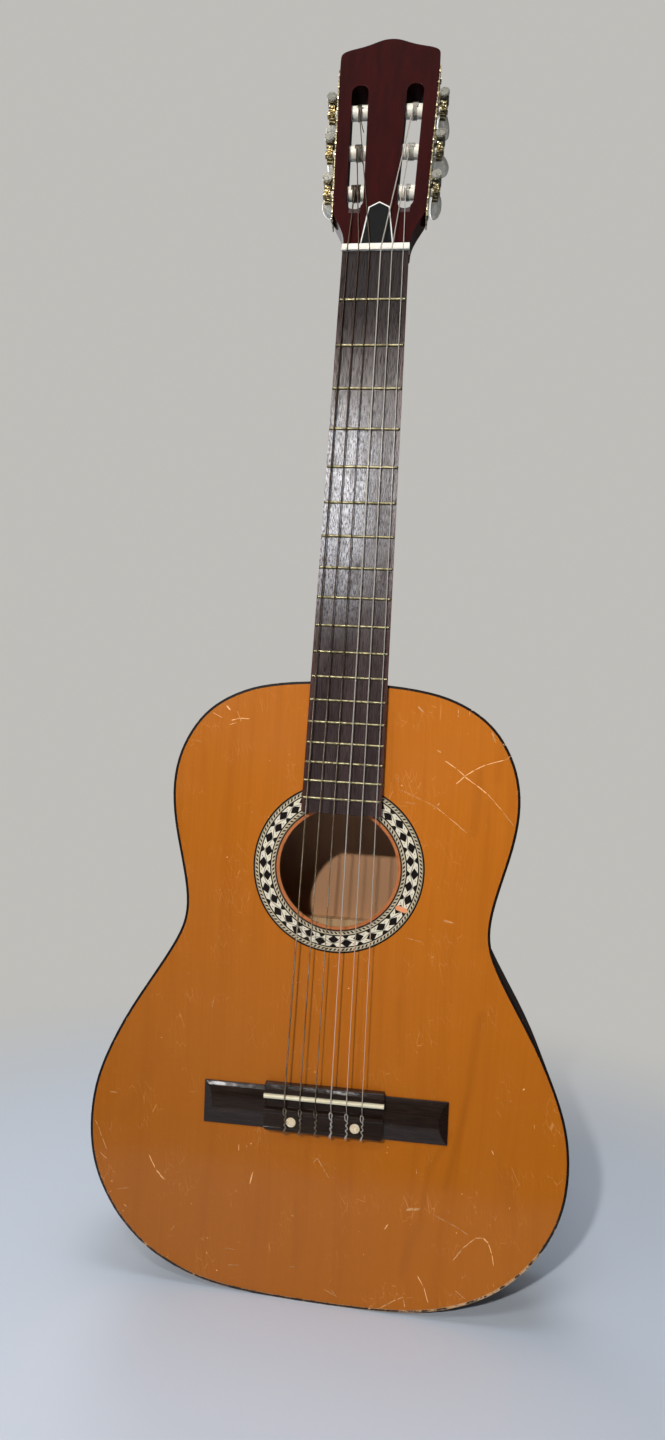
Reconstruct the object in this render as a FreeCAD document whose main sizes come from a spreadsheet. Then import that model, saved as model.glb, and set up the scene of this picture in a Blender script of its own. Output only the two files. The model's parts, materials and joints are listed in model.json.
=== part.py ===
import FreeCAD, Part
import math
import os

import Sketcher

# Classical guitar, standing frame: +Z runs up the neck, the soundboard faces -Y,
# +X is the treble side.  The origin is at the middle of the bounding box's bottom.
#
# Design coordinates, used for every piece before it gets its Placement:
#   x across the guitar, y = 0 on the soundboard's outer face and growing towards the back,
#   z = 0 at the nut's front edge (the start of the speaking length) and growing to the head.

App = FreeCAD
V = App.Vector
doc = App.newDocument("classical_guitar")

# --------------------------------------------------------------------------- dimensions
sheet = doc.addObject("Spreadsheet::Sheet", "dims")
TABLE = [
    # alias, value, what it is
    ("scale_length", 650.0, "open string length, nut to saddle"),
    ("nut_z", 828.2, "height of the nut's front edge above the lowest point"),
    ("top_y", -40.78, "soundboard outer face in the standing frame"),
    ("body_depth", 95.0, "outside depth of the body"),
    ("top_thick", 2.6, "soundboard"),
    ("back_thick", 2.8, "back plate"),
    ("rib_thick", 2.0, "sides, and width of the bindings"),
    ("binding_high", 4.5, "binding height"),
    ("lining_wide", 6.0, "lining width"),
    ("lining_high", 14.0, "lining height"),
    ("hole_radius", 46.7, "soundhole"),
    ("rosette_in", 49.7, "rosette inner radius"),
    ("rosette_out", 67.85, "rosette outer radius"),
    ("rosette_thick", 0.8, "rosette inlay depth"),
    ("hole_z", -475.0, "soundhole centre from the nut"),
    ("board_thick", 6.3, "fingerboard"),
    ("board_w_nut", 50.6, "fingerboard width at the nut"),
    ("board_w_end", 62.8, "fingerboard width at its end"),
    ("board_length", 431.7, "fingerboard length"),
    ("fret_high", 1.2, "fret crown height"),
    ("fret_wide", 2.2, "fret crown width"),
    ("fret_tang", 1.8, "fret tang depth"),
    ("tang_wide", 0.6, "fret tang width"),
    ("nut_wide", 51.3, "nut length across the neck"),
    ("nut_deep", 5.3, "nut size along the strings"),
    ("nut_high", 9.2, "nut height"),
    ("bridge_z", -649.9, "front edge of the bridge"),
    ("bridge_wide", 195.0, "bridge length across the top"),
    ("bridge_deep", 34.4, "bridge wing size along the strings"),
    ("bridge_x", 0.8, "bridge centre from the centre line"),
    ("bridge_skew", 1.2, "angle by which the bridge stands askew"),
    ("wing_high", 5.6, "bridge wing height"),
    ("block_wide", 95.0, "bridge centre block across"),
    ("saddle_thick", 3.3, "saddle"),
    ("saddle_long", 95.0, "saddle length"),
    ("saddle_top", 12.3, "saddle crest above the soundboard"),
    ("dot_radius", 3.9, "pearl dot over each bridge bolt"),
    ("dot_x", 25.4, "bridge bolt from the bridge's middle"),
    ("dot_z", -678.8, "bridge bolts from the nut"),
    ("bolt_radius", 2.0, "bridge bolt shank"),
    ("head_tilt", 9.5, "headstock tilt, degrees"),
    ("head_thick", 19.0, "headstock thickness"),
    ("slot_wide", 13.2, "headstock slot width"),
    ("side_taper", 1.42, "taper of each headstock side, degrees"),
    ("tuner_mid_s", 87.6, "middle tuner along the head face"),
    ("tuner_pitch", 35.0, "tuner spacing"),
    ("roller_depth", 9.5, "roller axis below the head face"),
    ("roller_radius", 5.4, "string roller barrel"),
    ("running_gap", 0.06, "radial running clearance"),
    ("cog_teeth", 14, "teeth on each cog"),
    ("cog_module", 0.86, "cog module"),
    ("cog_thick", 4.6, "cog face width"),
    ("worm_pitch_radius", 3.14, "worm pitch radius"),
    ("worm_u", 5.5, "worm axis outside the headstock side"),
    ("plate_thick", 1.0, "tuner side plate"),
    ("bar_wide", 6.0, "steel neck bar"),
    ("bar_deep", 8.0, "steel neck bar"),
    ("bar_long", 300.0, "steel neck bar"),
]
for row, (alias, value, what) in enumerate(TABLE, start=1):
    sheet.set(f"A{row}", alias)
    sheet.set(f"B{row}", repr(value))
    sheet.set(f"C{row}", what)
    sheet.setAlias(f"B{row}", alias)
doc.recompute()


def D(alias):
    return float(getattr(sheet, alias))


# Half outline of the soundboard, from the neck joint round to the tail: (half width, z).
OUTLINE = [
    (0.0, -330.3), (24.0, -330.7), (45.0, -332.2), (60.0, -334.3), (75.0, -337.8),
    (90.0, -343.8), (104.0, -352.3), (115.0, -362.8), (124.0, -376.2), (130.4, -391.0),
    (134.0, -407.0), (134.8, -422.0), (133.2, -440.0), (129.2, -460.0), (124.2, -480.0),
    (120.0, -500.0), (118.7, -516.0), (120.7, -530.0), (126.2, -544.0), (134.8, -560.0),
    (146.7, -580.0), (158.5, -600.0), (169.0, -620.0), (177.9, -640.0), (184.9, -660.0),
    (189.0, -680.0), (190.25, -700.0), (188.8, -720.0), (183.9, -740.0), (174.6, -760.0),
    (162.0, -778.0), (150.0, -790.3), (136.0, -801.2), (120.0, -809.8), (105.0, -815.9),
    (88.0, -820.6), (68.0, -823.6), (45.0, -825.4), (22.0, -826.05), (0.0, -826.2),
]

made = []  # (node name, document object) of every sub-part
GLOBAL = App.Placement(V(0, D("top_y"), D("nut_z")), App.Rotation())


def half_curve(offset):
    """Edge of the half outline moved outward by offset, as points and a spline."""
    base = Part.BSplineCurve()
    base.interpolate(Points=[V(x, 0, z) for x, z in OUTLINE], InitialTangent=V(60, 0, 0), FinalTangent=V(-60, 0, 0))
    if abs(offset) < 1e-9:
        return base
    pts = []
    a, b = base.FirstParameter, base.LastParameter
    count = 60
    for i in range(count + 1):
        u = a + (b - a) * i / count
        p = base.value(u)
        t = base.tangent(u)[0]
        n = V(-t.z, 0, t.x)  # outward, because the curve runs clockwise seen from the front
        if n.dot(V(p.x, 0, p.z + 575)) < 0:
            n = n * -1
        q = p + n * offset
        if i in (0, count):
            q = V(0, 0, q.z)
        pts.append(q)
    c = Part.BSplineCurve()
    c.interpolate(Points=pts, InitialTangent=V(60, 0, 0), FinalTangent=V(-60, 0, 0))
    return c


CURVES = {}


def curve(offset):
    if offset not in CURVES:
        CURVES[offset] = half_curve(offset)
    return CURVES[offset]


def mirrored_curve(c):
    m = c.copy()
    mat = App.Matrix()
    mat.A11 = -1
    m.transform(mat)
    return m


def loop_edges(offset):
    c = curve(offset)
    return [c.toShape(), mirrored_curve(c).toShape()]


def outline_face(offset):
    return Part.Face(Part.Wire(Part.__sortEdges__(loop_edges(offset))))


def flat(curve_xz):
    """A curve of the x-z plane as sketch geometry: sketch x is x, sketch y is z."""
    g = curve_xz.copy()
    mat = App.Matrix()  # (x, y, z) -> (x, z, 0)
    mat.A22, mat.A23 = 0, 1
    mat.A32, mat.A33 = -1, 0
    g.transform(mat)
    return g


def plane_of(body, role):
    for feature in body.Origin.OriginFeatures:
        if feature.Role == role:
            return feature
    raise RuntimeError(role)


def keep(name, obj):
    obj.Label = name
    made.append((name, obj))
    return obj


def body_at(name, y_offset):
    """A PartDesign body whose sketch plane is y_offset behind the soundboard's face."""
    body = doc.addObject("PartDesign::Body", name)
    body.setExpression("Placement.Base.y", f"dims.top_y + {y_offset}")
    body.setExpression("Placement.Base.z", "dims.nut_z")
    return keep(name, body)


def sketch_on(body, role, label):
    sk = body.newObject("Sketcher::SketchObject", label)
    sk.AttachmentSupport = (plane_of(body, role), [""])
    sk.MapMode = "FlatFace"
    return sk


def add_circle(sk, x, y, r, expr=None):
    i = sk.addGeometry(Part.Circle(V(x, y, 0), V(0, 0, 1), r), False)
    if abs(x) < 1e-9:
        sk.addConstraint(Sketcher.Constraint("PointOnObject", i, 3, -2))
    else:
        sk.addConstraint(Sketcher.Constraint("DistanceX", -1, 1, i, 3, x))
    sk.addConstraint(Sketcher.Constraint("DistanceY", -1, 1, i, 3, y))
    c = sk.addConstraint(Sketcher.Constraint("Radius", i, r))
    if expr:
        sk.renameConstraint(c, f"radius_{i}")
        sk.setExpression(f"Constraints.radius_{i}", expr)
    return i


def add_polygon(sk, pts):
    first = sk.GeometryCount
    n = len(pts)
    for i in range(n):
        a, b = pts[i], pts[(i + 1) % n]
        sk.addGeometry(Part.LineSegment(V(a[0], a[1], 0), V(b[0], b[1], 0)), False)
    for i in range(n):
        sk.addConstraint(Sketcher.Constraint("Coincident", first + i, 2, first + (i + 1) % n, 1))
    return first


def pad(body, sk, expr, back=True):
    p = body.newObject("PartDesign::Pad", body.Name + "_pad")
    p.Profile = sk
    p.Length = 1.0
    p.setExpression("Length", expr)
    p.Reversed = back
    return p


def shape_part(name, shape, placement=None):
    """A piece made with Part's own functions, for shapes the features can't hold."""
    f = doc.addObject("Part::Feature", name)
    own = App.Placement(shape.Placement)
    f.Shape = shape
    f.Placement = (placement if placement is not None else GLOBAL).multiply(own)
    return keep(name, f)


def box(x0, x1, y0, y1, z0, z1):
    return Part.makeBox(x1 - x0, y1 - y0, z1 - z0, V(x0, y0, z0))


def cyl(r, p, d, length):
    return Part.makeCylinder(r, length, V(*p), V(*d))


def poly_prism(pts, direction):
    """pts is a closed 3D polygon, swept along direction."""
    w = Part.makePolygon([V(*p) for p in pts] + [V(*pts[0])])
    return Part.Face(w).extrude(V(*direction))


# The bridge stands slightly askew: its pieces are drawn square to the centre line, then turned about its middle.
BRIDGE_AT = App.Placement(V(D("bridge_x"), 0, 0), App.Rotation(V(0, 1, 0), -D("bridge_skew")), V(0, 0, -670))
BOLTS = [BRIDGE_AT.multVec(V(sx * D("dot_x"), 0, D("dot_z"))) for sx in (-1, 1)]


# --------------------------------------------------------------------------- the body box
T_TOP, T_BACK, RIB = D("top_thick"), D("back_thick"), D("rib_thick")
DEPTH, BIND = D("body_depth"), D("binding_high")
LIN_W, LIN_H = D("lining_wide"), D("lining_high")
HOLE_Z = D("hole_z")

# Soundboard: outline, soundhole and two bolt holes in one sketch, padded; then the rosette's
# groove and its ring of plain wood round the hole.
soundboard = body_at("soundboard", 0)
sk = sketch_on(soundboard, "XZ_Plane", "soundboard_outline")
sk.addGeometry(flat(curve(0)), False)
sk.addGeometry(flat(mirrored_curve(curve(0))), False)
sk.addConstraint(Sketcher.Constraint("Coincident", 0, 1, 1, 1))
sk.addConstraint(Sketcher.Constraint("Coincident", 0, 2, 1, 2))
add_circle(sk, 0, HOLE_Z, D("hole_radius"), "dims.hole_radius")
for b in BOLTS:
    add_circle(sk, b.x, b.z, D("bolt_radius"), "dims.bolt_radius")
plate = pad(soundboard, sk, "dims.top_thick")
doc.recompute()
groove = sketch_on(soundboard, "XZ_Plane", "rosette_groove")
add_circle(groove, 0, HOLE_Z, D("rosette_out"), "dims.rosette_out")
add_circle(groove, 0, HOLE_Z, D("rosette_in"), "dims.rosette_in")
pocket = soundboard.newObject("PartDesign::Pocket", "rosette_pocket")
pocket.Profile = groove
pocket.setExpression("Length", "dims.rosette_thick")
doc.recompute()
ring_volume = math.pi * (D("rosette_out") ** 2 - D("rosette_in") ** 2) * D("rosette_thick")
if abs(plate.Shape.cut(pocket.Shape).Volume - ring_volume) > 0.01 * ring_volume:
    raise RuntimeError("the rosette groove didn't cut")

rosette = body_at("rosette", 0)
sk = sketch_on(rosette, "XZ_Plane", "rosette_ring")
add_circle(sk, 0, HOLE_Z, D("rosette_out"), "dims.rosette_out")
add_circle(sk, 0, HOLE_Z, D("rosette_in"), "dims.rosette_in")
pad(rosette, sk, "dims.rosette_thick")

back = body_at("back", "dims.body_depth - dims.back_thick")
sk = sketch_on(back, "XZ_Plane", "back_outline")
sk.addGeometry(flat(curve(0)), False)
sk.addGeometry(flat(mirrored_curve(curve(0))), False)
sk.addConstraint(Sketcher.Constraint("Coincident", 0, 1, 1, 1))
sk.addConstraint(Sketcher.Constraint("Coincident", 0, 2, 1, 2))
pad(back, sk, "dims.back_thick")


def ring_body(name, y_expr, outer, inner, length_expr):
    body = body_at(name, y_expr)
    s = sketch_on(body, "XZ_Plane", name + "_ring")
    for offset in (outer, inner):
        s.addGeometry(flat(curve(offset)), False)
        s.addGeometry(flat(mirrored_curve(curve(offset))), False)
    for k in (0, 2):
        s.addConstraint(Sketcher.Constraint("Coincident", k, 1, k + 1, 1))
        s.addConstraint(Sketcher.Constraint("Coincident", k, 2, k + 1, 2))
    pad(body, s, length_expr)
    return body


ring_body("top_binding", "0", RIB, 0, "dims.binding_high")
ring_body("back_binding", "dims.body_depth - dims.binding_high", RIB, 0, "dims.binding_high")


def half_rib(name, side):
    body = body_at(name, "dims.binding_high")
    s = sketch_on(body, "XZ_Plane", name + "_section")
    outer, inner = curve(RIB), curve(0)
    if side < 0:
        outer, inner = mirrored_curve(outer), mirrored_curve(inner)
    s.addGeometry(flat(outer), False)
    s.addGeometry(flat(inner), False)
    a0, a1 = outer.value(outer.FirstParameter), outer.value(outer.LastParameter)
    b0, b1 = inner.value(inner.FirstParameter), inner.value(inner.LastParameter)
    s.addGeometry(Part.LineSegment(V(0, a0.z, 0), V(0, b0.z, 0)), False)
    s.addGeometry(Part.LineSegment(V(0, a1.z, 0), V(0, b1.z, 0)), False)
    s.addConstraint(Sketcher.Constraint("Coincident", 0, 1, 2, 1))
    s.addConstraint(Sketcher.Constraint("Coincident", 1, 1, 2, 2))
    s.addConstraint(Sketcher.Constraint("Coincident", 0, 2, 3, 1))
    s.addConstraint(Sketcher.Constraint("Coincident", 1, 2, 3, 2))
    pad(body, s, "dims.body_depth - 2 * dims.binding_high")
    return body


half_rib("side_bass", -1)
half_rib("side_treble", 1)

# Neck block and tail block: a box trimmed to the inside of the ribs.
inside = outline_face(0).extrude(V(0, DEPTH, 0))
block_y0, block_y1 = T_TOP, DEPTH - T_BACK
neck_block = box(-34, 34, block_y0, block_y1, -372, -320).common(inside)
tail_block = box(-32, 32, block_y0, block_y1, -835, -806).common(inside)
shape_part("neck_block", neck_block)
shape_part("tail_block", tail_block)

# Kerfed linings, glued inside the ribs against the top and against the back.
lining_ring = outline_face(0).cut(outline_face(-LIN_W))
kerf_gap = [box(-34, 34, -1, DEPTH + 1, -380, -320), box(-32, 32, -1, DEPTH + 1, -835, -800)]
for name, y0 in (("top_lining", T_TOP), ("back_lining", DEPTH - T_BACK - LIN_H)):
    solid = lining_ring.extrude(V(0, LIN_H, 0))
    solid.translate(V(0, y0, 0))
    for g in kerf_gap:
        solid = solid.cut(g)
    shape_part(name, Part.makeCompound(solid.Solids))

inner_room = outline_face(-LIN_W - 0.4).extrude(V(0, DEPTH, 0))


def brace_bar(x0, z0, x1, z1, wide, high, y_glue, up):
    """A straight bar glued to a plate, with its ends scooped down; up is +1 on the top plate."""
    a, b = V(x0, 0, z0), V(x1, 0, z1)
    d = b.sub(a)
    length = d.Length
    d.normalize()
    side = V(d.z, 0, -d.x) * (wide / 2)
    end = min(28.0, length * 0.2)
    low = high * 0.35
    prof = [(0, 0), (length, 0), (length, low), (length - end, high), (end, high), (0, low)]
    pts = [a + d * t + V(0, y_glue + up * h, 0) - side for t, h in prof]
    w = Part.makePolygon(pts + [pts[0]])
    return Part.Face(w).extrude(side * 2)


def half_width(z):
    """Inside half width of the body at height z, at the linings' inner edge."""
    line = Part.makeLine(V(0, 0, z), V(300, 0, z))
    hit = line.common(outline_face(-LIN_W - 0.4))
    return hit.BoundBox.XMax


def brace_reach(z):
    """Half length of a cross bar at z that stays clear of the linings over its width."""
    return min(half_width(z - 5), half_width(z), half_width(z + 5)) - 0.6


# Fan struts under the lower bout, two harmonic bars either side of the soundhole.
fans = []
for k in (-2, -1, 0, 1, 2):
    fans.append(brace_bar(k * 24.0, -548, k * 41.0, -770 + abs(k) * 9, 6.0, 6.5, T_TOP, 1))
bolt_clear = [box(b.x - 8, b.x + 8, 0, 14, b.z - 8, b.z + 8) for b in BOLTS]
fans = [f.cut(bolt_clear[0]).cut(bolt_clear[1]) for f in fans]
shape_part("fan_braces", Part.makeCompound([s for f in fans for s in f.Solids]))
bars = []
for z in (-412.0, -535.0):
    hw = brace_reach(z)
    bars.append(brace_bar(-hw, z, hw, z, 9.0, 15.0, T_TOP, 1))
shape_part("harmonic_bars", Part.makeCompound(bars))
bars = []
for z, h in ((-405.0, 13.0), (-536.0, 13.0), (-690.0, 13.0)):
    hw = brace_reach(z)
    bars.append(brace_bar(-hw, z, hw, z, 9.0, h, DEPTH - T_BACK, -1))
shape_part("back_braces", Part.makeCompound(bars))

# --------------------------------------------------------------------------- bridge
BZ = D("bridge_z")
BW, BD, WH, BLK = D("bridge_wide"), D("bridge_deep"), D("wing_high"), D("block_wide")


def wing(side):
    """One bridge wing: a low arched plate with a bevelled front edge, its outer end cut on a slant."""
    x0, x1 = side * (BLK / 2 - 1), side * BW / 2
    z0 = BZ - 3.6
    z1 = z0 - BD
    edge = 1.6

    def p(h, z):
        return V(x0, -h, z)

    rim = [p(edge, z1), p(0, z1), p(0, z0), p(edge, z0), p(3.7, z0 - 2.8)]
    crown = Part.Arc(rim[-1], p(WH, (z0 + z1) / 2 + 1.0), rim[0]).toShape()
    profile = Part.Wire([Part.LineSegment(a, b).toShape() for a, b in zip(rim, rim[1:])] + [crown])
    plate = Part.Face(profile).extrude(V(x1 - x0, 0, 0))
    slant = 1.8
    wedge = [(x1, edge), (x1 + side * 5, edge), (x1 + side * 5, 14), (x1 - side * (14 - edge) * slant, 14)]
    return plate.cut(poly_prism([(x, -h, z1 - 3) for x, h in wedge], (0, 0, BD + 6)))


def rounded_plan(half, z0, z1, r):
    """A tall block with its two rear upright edges rounded."""
    k = r * (1 - math.sqrt(0.5))
    def q(x, z):
        return V(x, 1, z)
    a, b, c, d = q(half, z1 + r), q(half - r, z1), q(-half + r, z1), q(-half, z1 + r)
    edges = [Part.LineSegment(q(-half, z0), q(half, z0)), Part.LineSegment(q(half, z0), a), Part.Arc(a, q(half - k, z1 + k), b),
             Part.LineSegment(b, c), Part.Arc(c, q(-half + k, z1 + k), d), Part.LineSegment(d, q(-half, z0))]
    return Part.Face(Part.Wire([e.toShape() for e in edges])).extrude(V(0, -20, 0))


saddle_z0 = -656.9  # front face of the saddle slot
ST = D("saddle_thick")
# Section of the centre block: front ridge, saddle land, channel and tie block.
sec = [(0, BZ), (6.6, BZ), (7.3, BZ - 0.6), (8.8, -652.7), (9.2, -653.3), (9.2, -661.2), (4.8, -662.6), (4.8, -668.4), (8.6, -669.3),
       (9.3, -669.9), (9.3, -672.1), (8.7, -672.8), (8.7, -683.6), (9.3, -684.2), (9.3, -686.0), (8.5, -686.8), (0, -686.8)]
block = poly_prism([(-BLK / 2, -h, z) for h, z in sec], (BLK, 0, 0)).common(rounded_plan(BLK / 2, BZ + 5, -686.8, 3.5))
bridge = block.fuse([wing(-1), wing(1)])
bridge = bridge.removeSplitter()
SL = D("saddle_long")
slot = box(-SL / 2, SL / 2, -20, -3.0, saddle_z0 - ST, saddle_z0)
bridge = bridge.cut(slot)
STRINGS = [  # name, radius, x at saddle in the bridge's own square frame, x at nut
    ("string_e6", 0.55, -30.6, -21.2),
    ("string_a5", 0.45, -18.4, -12.7),
    ("string_d4", 0.38, -6.1, -4.25),
    ("string_g3", 0.50, 6.1, 4.25),
    ("string_b2", 0.41, 18.4, 12.7),
    ("string_e1", 0.36, 30.6, 21.2),
]
TIE_Y = -5.9  # height of the tie holes
for _, r, xs, _x in STRINGS:
    bridge = bridge.cut(cyl(0.85, (xs, TIE_Y, -692), (0, 0, 1), 26))
DX, DZ = D("dot_x"), D("dot_z")
BR = D("bolt_radius")
for sx in (-1, 1):
    bridge = bridge.cut(cyl(BR, (sx * DX, 1, DZ), (0, -1, 0), 12))
    bridge = bridge.cut(cyl(D("dot_radius"), (sx * DX, -6.2, DZ), (0, -1, 0), 6))
ON_BRIDGE = GLOBAL.multiply(BRIDGE_AT)
shape_part("bridge", bridge, ON_BRIDGE)

# Saddle: a bone bar with a rounded crest.
sh = box(-SL / 2, SL / 2, -(D("saddle_top") - ST / 2), -3.0, saddle_z0 - ST, saddle_z0)
crest = cyl(ST / 2, (-SL / 2, -(D("saddle_top") - ST / 2), saddle_z0 - ST / 2), (1, 0, 0), SL)
shape_part("saddle", sh.fuse(crest).removeSplitter(), ON_BRIDGE)

# Bridge bolts with washers and nuts inside the body, capped by two pearl dots.
dots, bolts = [], []
for sx in (-1, 1):
    cap = cyl(D("dot_radius"), (sx * DX, -7.4, DZ), (0, -1, 0), 1.5)
    dome = Part.makeSphere(12.0, V(sx * DX, -8.9 + 11.35, DZ)).common(cyl(D("dot_radius"), (sx * DX, -8.9, DZ), (0, -1, 0), 2))
    dots.append(cap.fuse(dome).removeSplitter())
    head = cyl(3.4, (sx * DX, -6.2, DZ), (0, -1, 0), 1.2).cut(box(sx * DX - 4, sx * DX + 4, -8, -6.9, DZ - 0.5, DZ + 0.5))
    shank = cyl(BR, (sx * DX, 9.0, DZ), (0, -1, 0), 15.2)
    bolts.append(head.fuse(shank).removeSplitter())
    washer = cyl(5.5, (sx * DX, T_TOP, DZ), (0, 1, 0), 1.0).cut(cyl(BR, (sx * DX, 0, DZ), (0, 1, 0), 12))
    hexa = Part.Face(Part.makePolygon([V(sx * DX + 4.0 * math.cos(math.radians(60 * i)), T_TOP + 1.0, DZ + 4.0 * math.sin(math.radians(60 * i))) for i in range(7)]))
    nut_solid = hexa.extrude(V(0, 3.2, 0)).cut(cyl(BR, (sx * DX, 0, DZ), (0, 1, 0), 12))
    bolts += [washer, nut_solid]
shape_part("bridge_dots", Part.makeCompound(dots), ON_BRIDGE)
shape_part("bridge_bolts", Part.makeCompound([s for b in bolts for s in b.Solids]), ON_BRIDGE)

# --------------------------------------------------------------------------- fingerboard and frets
FT, FL = D("board_thick"), D("board_length")
W0, W1 = D("board_w_nut"), D("board_w_end")


def board_width(z):
    return W0 + (W1 - W0) * (-z) / FL


FRETS = [-(D("scale_length") - D("scale_length") / 2 ** (n / 12.0)) for n in range(1, 19)]
fingerboard = body_at("fingerboard", "-dims.board_thick")
sk = sketch_on(fingerboard, "XZ_Plane", "board_outline")
add_polygon(sk, [(-W0 / 2, 0), (W0 / 2, 0), (W1 / 2, -FL), (-W1 / 2, -FL)])
for k, (g, al) in enumerate(((0, "board_w_nut"), (2, "board_w_end"))):
    c = sk.addConstraint(Sketcher.Constraint("Distance", g, D(al)))
    sk.renameConstraint(c, f"width_{k}")
    sk.setExpression(f"Constraints.width_{k}", f"dims.{al}")
for g in (0, 2):
    sk.addConstraint(Sketcher.Constraint("Horizontal", g))
pad(fingerboard, sk, "dims.board_thick")
doc.recompute()
full = fingerboard.Shape.Volume
slots = sketch_on(fingerboard, "XZ_Plane", "fret_slots")
for zf in FRETS:
    a = D("tang_wide") / 2
    add_polygon(slots, [(-40, zf - a), (40, zf - a), (40, zf + a), (-40, zf + a)])
cut = fingerboard.newObject("PartDesign::Pocket", "fret_slot_pocket")
cut.Profile = slots
cut.setExpression("Length", "dims.fret_tang")
cut.Reversed = False
doc.recompute()
if fingerboard.Shape.Volume > full - 10:
    cut.Reversed = True
    doc.recompute()
expected = sum(board_width(zf) for zf in FRETS) * D("tang_wide") * D("fret_tang")
if abs(full - fingerboard.Shape.Volume - expected) > 0.03 * expected:
    raise RuntimeError("the fret slots didn't cut")

# Frets: an arched crown on a tang, all cut to the board's taper with bevelled ends.
fh, fw, tw, tg = D("fret_high"), D("fret_wide"), D("tang_wide"), D("fret_tang")
frets = []
for zf in FRETS:
    hw = board_width(zf) / 2
    arc = Part.Arc(V(-hw, -FT, zf - fw / 2), V(-hw, -FT - fh, zf), V(-hw, -FT, zf + fw / 2)).toShape()
    line = Part.makeLine(V(-hw, -FT, zf + fw / 2), V(-hw, -FT, zf - fw / 2))
    crown = Part.Face(Part.Wire([arc, line])).extrude(V(2 * hw, 0, 0))
    trim = poly_prism([(-hw + 0.25, -FT, zf - 3), (hw - 0.25, -FT, zf - 3), (hw - 1.2, -FT - fh - 0.2, zf - 3), (-hw + 1.2, -FT - fh - 0.2, zf - 3)], (0, 0, 6))
    crown = crown.common(trim)
    tang = box(-hw + 1.0, hw - 1.0, -FT, -FT + tg, zf - tw / 2, zf + tw / 2)
    frets.append(crown.fuse(tang).removeSplitter())
shape_part("frets", Part.makeCompound([s for f in frets for s in f.Solids]))

# --------------------------------------------------------------------------- nut
NW, ND, NH = D("nut_wide"), D("nut_deep"), D("nut_high")
nut = poly_prism([(-NW / 2, 0, 0), (-NW / 2, -NH, 0), (-NW / 2, -NH, 1.6), (-NW / 2, -NH + 1.8, ND), (-NW / 2, 0, ND)], (NW, 0, 0))
NUT_Y = -8.3  # underside of the strings at the nut
SAD_Y = -D("saddle_top")
slope = (SAD_Y - NUT_Y) / -653.85

# --------------------------------------------------------------------------- headstock frame
TILT = D("head_tilt")
HEAD = GLOBAL.multiply(App.Placement(V(0, 0, ND), App.Rotation(V(1, 0, 0), -TILT)))
LOCAL_HEAD = App.Placement(V(0, 0, ND), App.Rotation(V(1, 0, 0), -TILT))
# In the head frame x is across, y is the depth below the face and z runs up the head.
BETA = D("side_taper")
MID_S, PITCH = D("tuner_mid_s"), D("tuner_pitch")
SIDE_X = 37.45  # half width of the head at the middle tuner
RD, RR = D("roller_depth"), D("roller_radius")
GAP = D("running_gap")


def tuner_frame(side):
    """Placement, in the head frame, of one row of tuners.  Its x is outward from the head's side
    on the treble side and inward on the bass side, so bass pieces use negative x."""
    return App.Placement(V(side * SIDE_X, 0, MID_S), App.Rotation(V(0, 1, 0), side * BETA))


def in_head(shape, side):
    s = shape.copy()
    s.Placement = tuner_frame(side).multiply(s.Placement)
    return s


# --------------------------------------------------------------------------- neck
def section(z, t, n):
    hw = board_width(z) / 2 if z < 0 else W0 / 2
    pts = []
    count = 16
    for i in range(count + 1):
        phi = math.pi * i / count
        c, s = math.cos(phi), math.sin(phi)
        pts.append(V(hw * math.copysign(abs(c) ** (2 / n), c), t * abs(s) ** (2 / n), z))
    pts[0], pts[-1] = V(hw, 0, z), V(-hw, 0, z)
    spline = Part.BSplineCurve()
    spline.interpolate(pts)
    return Part.Wire([spline.toShape(), Part.makeLine(pts[-1], pts[0])])


STATIONS = [(5.3, 16.4, 2.3), (-2, 16.4, 2.3), (-80, 16.8, 2.3), (-160, 17.3, 2.3), (-230, 17.9, 2.25), (-262, 18.8, 2.2),
            (-284, 21.5, 2.05), (-299, 28, 1.9), (-310, 41, 1.72), (-318, 62, 1.55), (-324, 90, 1.42), (-331.5, 125, 1.3)]
shaft = Part.makeLoft([section(*s) for s in STATIONS], True, False)
heel_plane = DEPTH - 4.5
shaft = shaft.cut(box(-60, 60, heel_plane, 300, -400, 20))
shaft = shaft.cut(outline_face(RIB).extrude(V(0, 300, 0)))

# Headstock outline on its face: half width against height along the face.
crown_pts = [V(0, 0, 178.9), V(6.5, 0, 178.1), V(13.5, 0, 175.6), V(21.5, 0, 172.9), V(30, 0, 170.9), V(34.5, 0, 169.5)]
side_pts = [V(39.15, 0, 161.5), V(39.15, 0, 157.5)]
HT = D("head_thick")


def head_edges(side):
    m = lambda p: V(side * p.x, 0, p.z)
    top = Part.BSplineCurve()
    top.interpolate(Points=[m(p) for p in crown_pts], InitialTangent=V(side * 9, 0, 0), FinalTangent=V(side * 8, 0, -3.2))
    corner = Part.BSplineCurve()
    corner.interpolate(Points=[m(crown_pts[-1]), m(V(37.9, 0, 167.3)), m(side_pts[0])], InitialTangent=V(side * 3.4, 0, -1.36), FinalTangent=V(0, 0, -5))
    e = [top.toShape(), corner.toShape()]
    e.append(Part.makeLine(m(side_pts[0]), m(side_pts[1])))
    e.append(Part.makeLine(m(side_pts[1]), m(V(36.05, 0, 33.0))))
    low = Part.BSplineCurve()
    low.interpolate(Points=[m(V(36.05, 0, 33.0)), m(V(33.6, 0, 25.8)), m(V(29.6, 0, 18.4)), m(V(26.6, 0, 11.0)), m(V(25.3, 0, 0.0))],
                    InitialTangent=V(side * -0.4, 0, -8), FinalTangent=V(side * -0.4, 0, -8))
    e.append(low.toShape())
    return e


edges = head_edges(1) + head_edges(-1) + [Part.makeLine(V(25.3, 0, 0), V(-25.3, 0, 0))]
slab = Part.Face(Part.Wire(Part.__sortEdges__(edges))).extrude(V(0, HT, 0))
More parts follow.
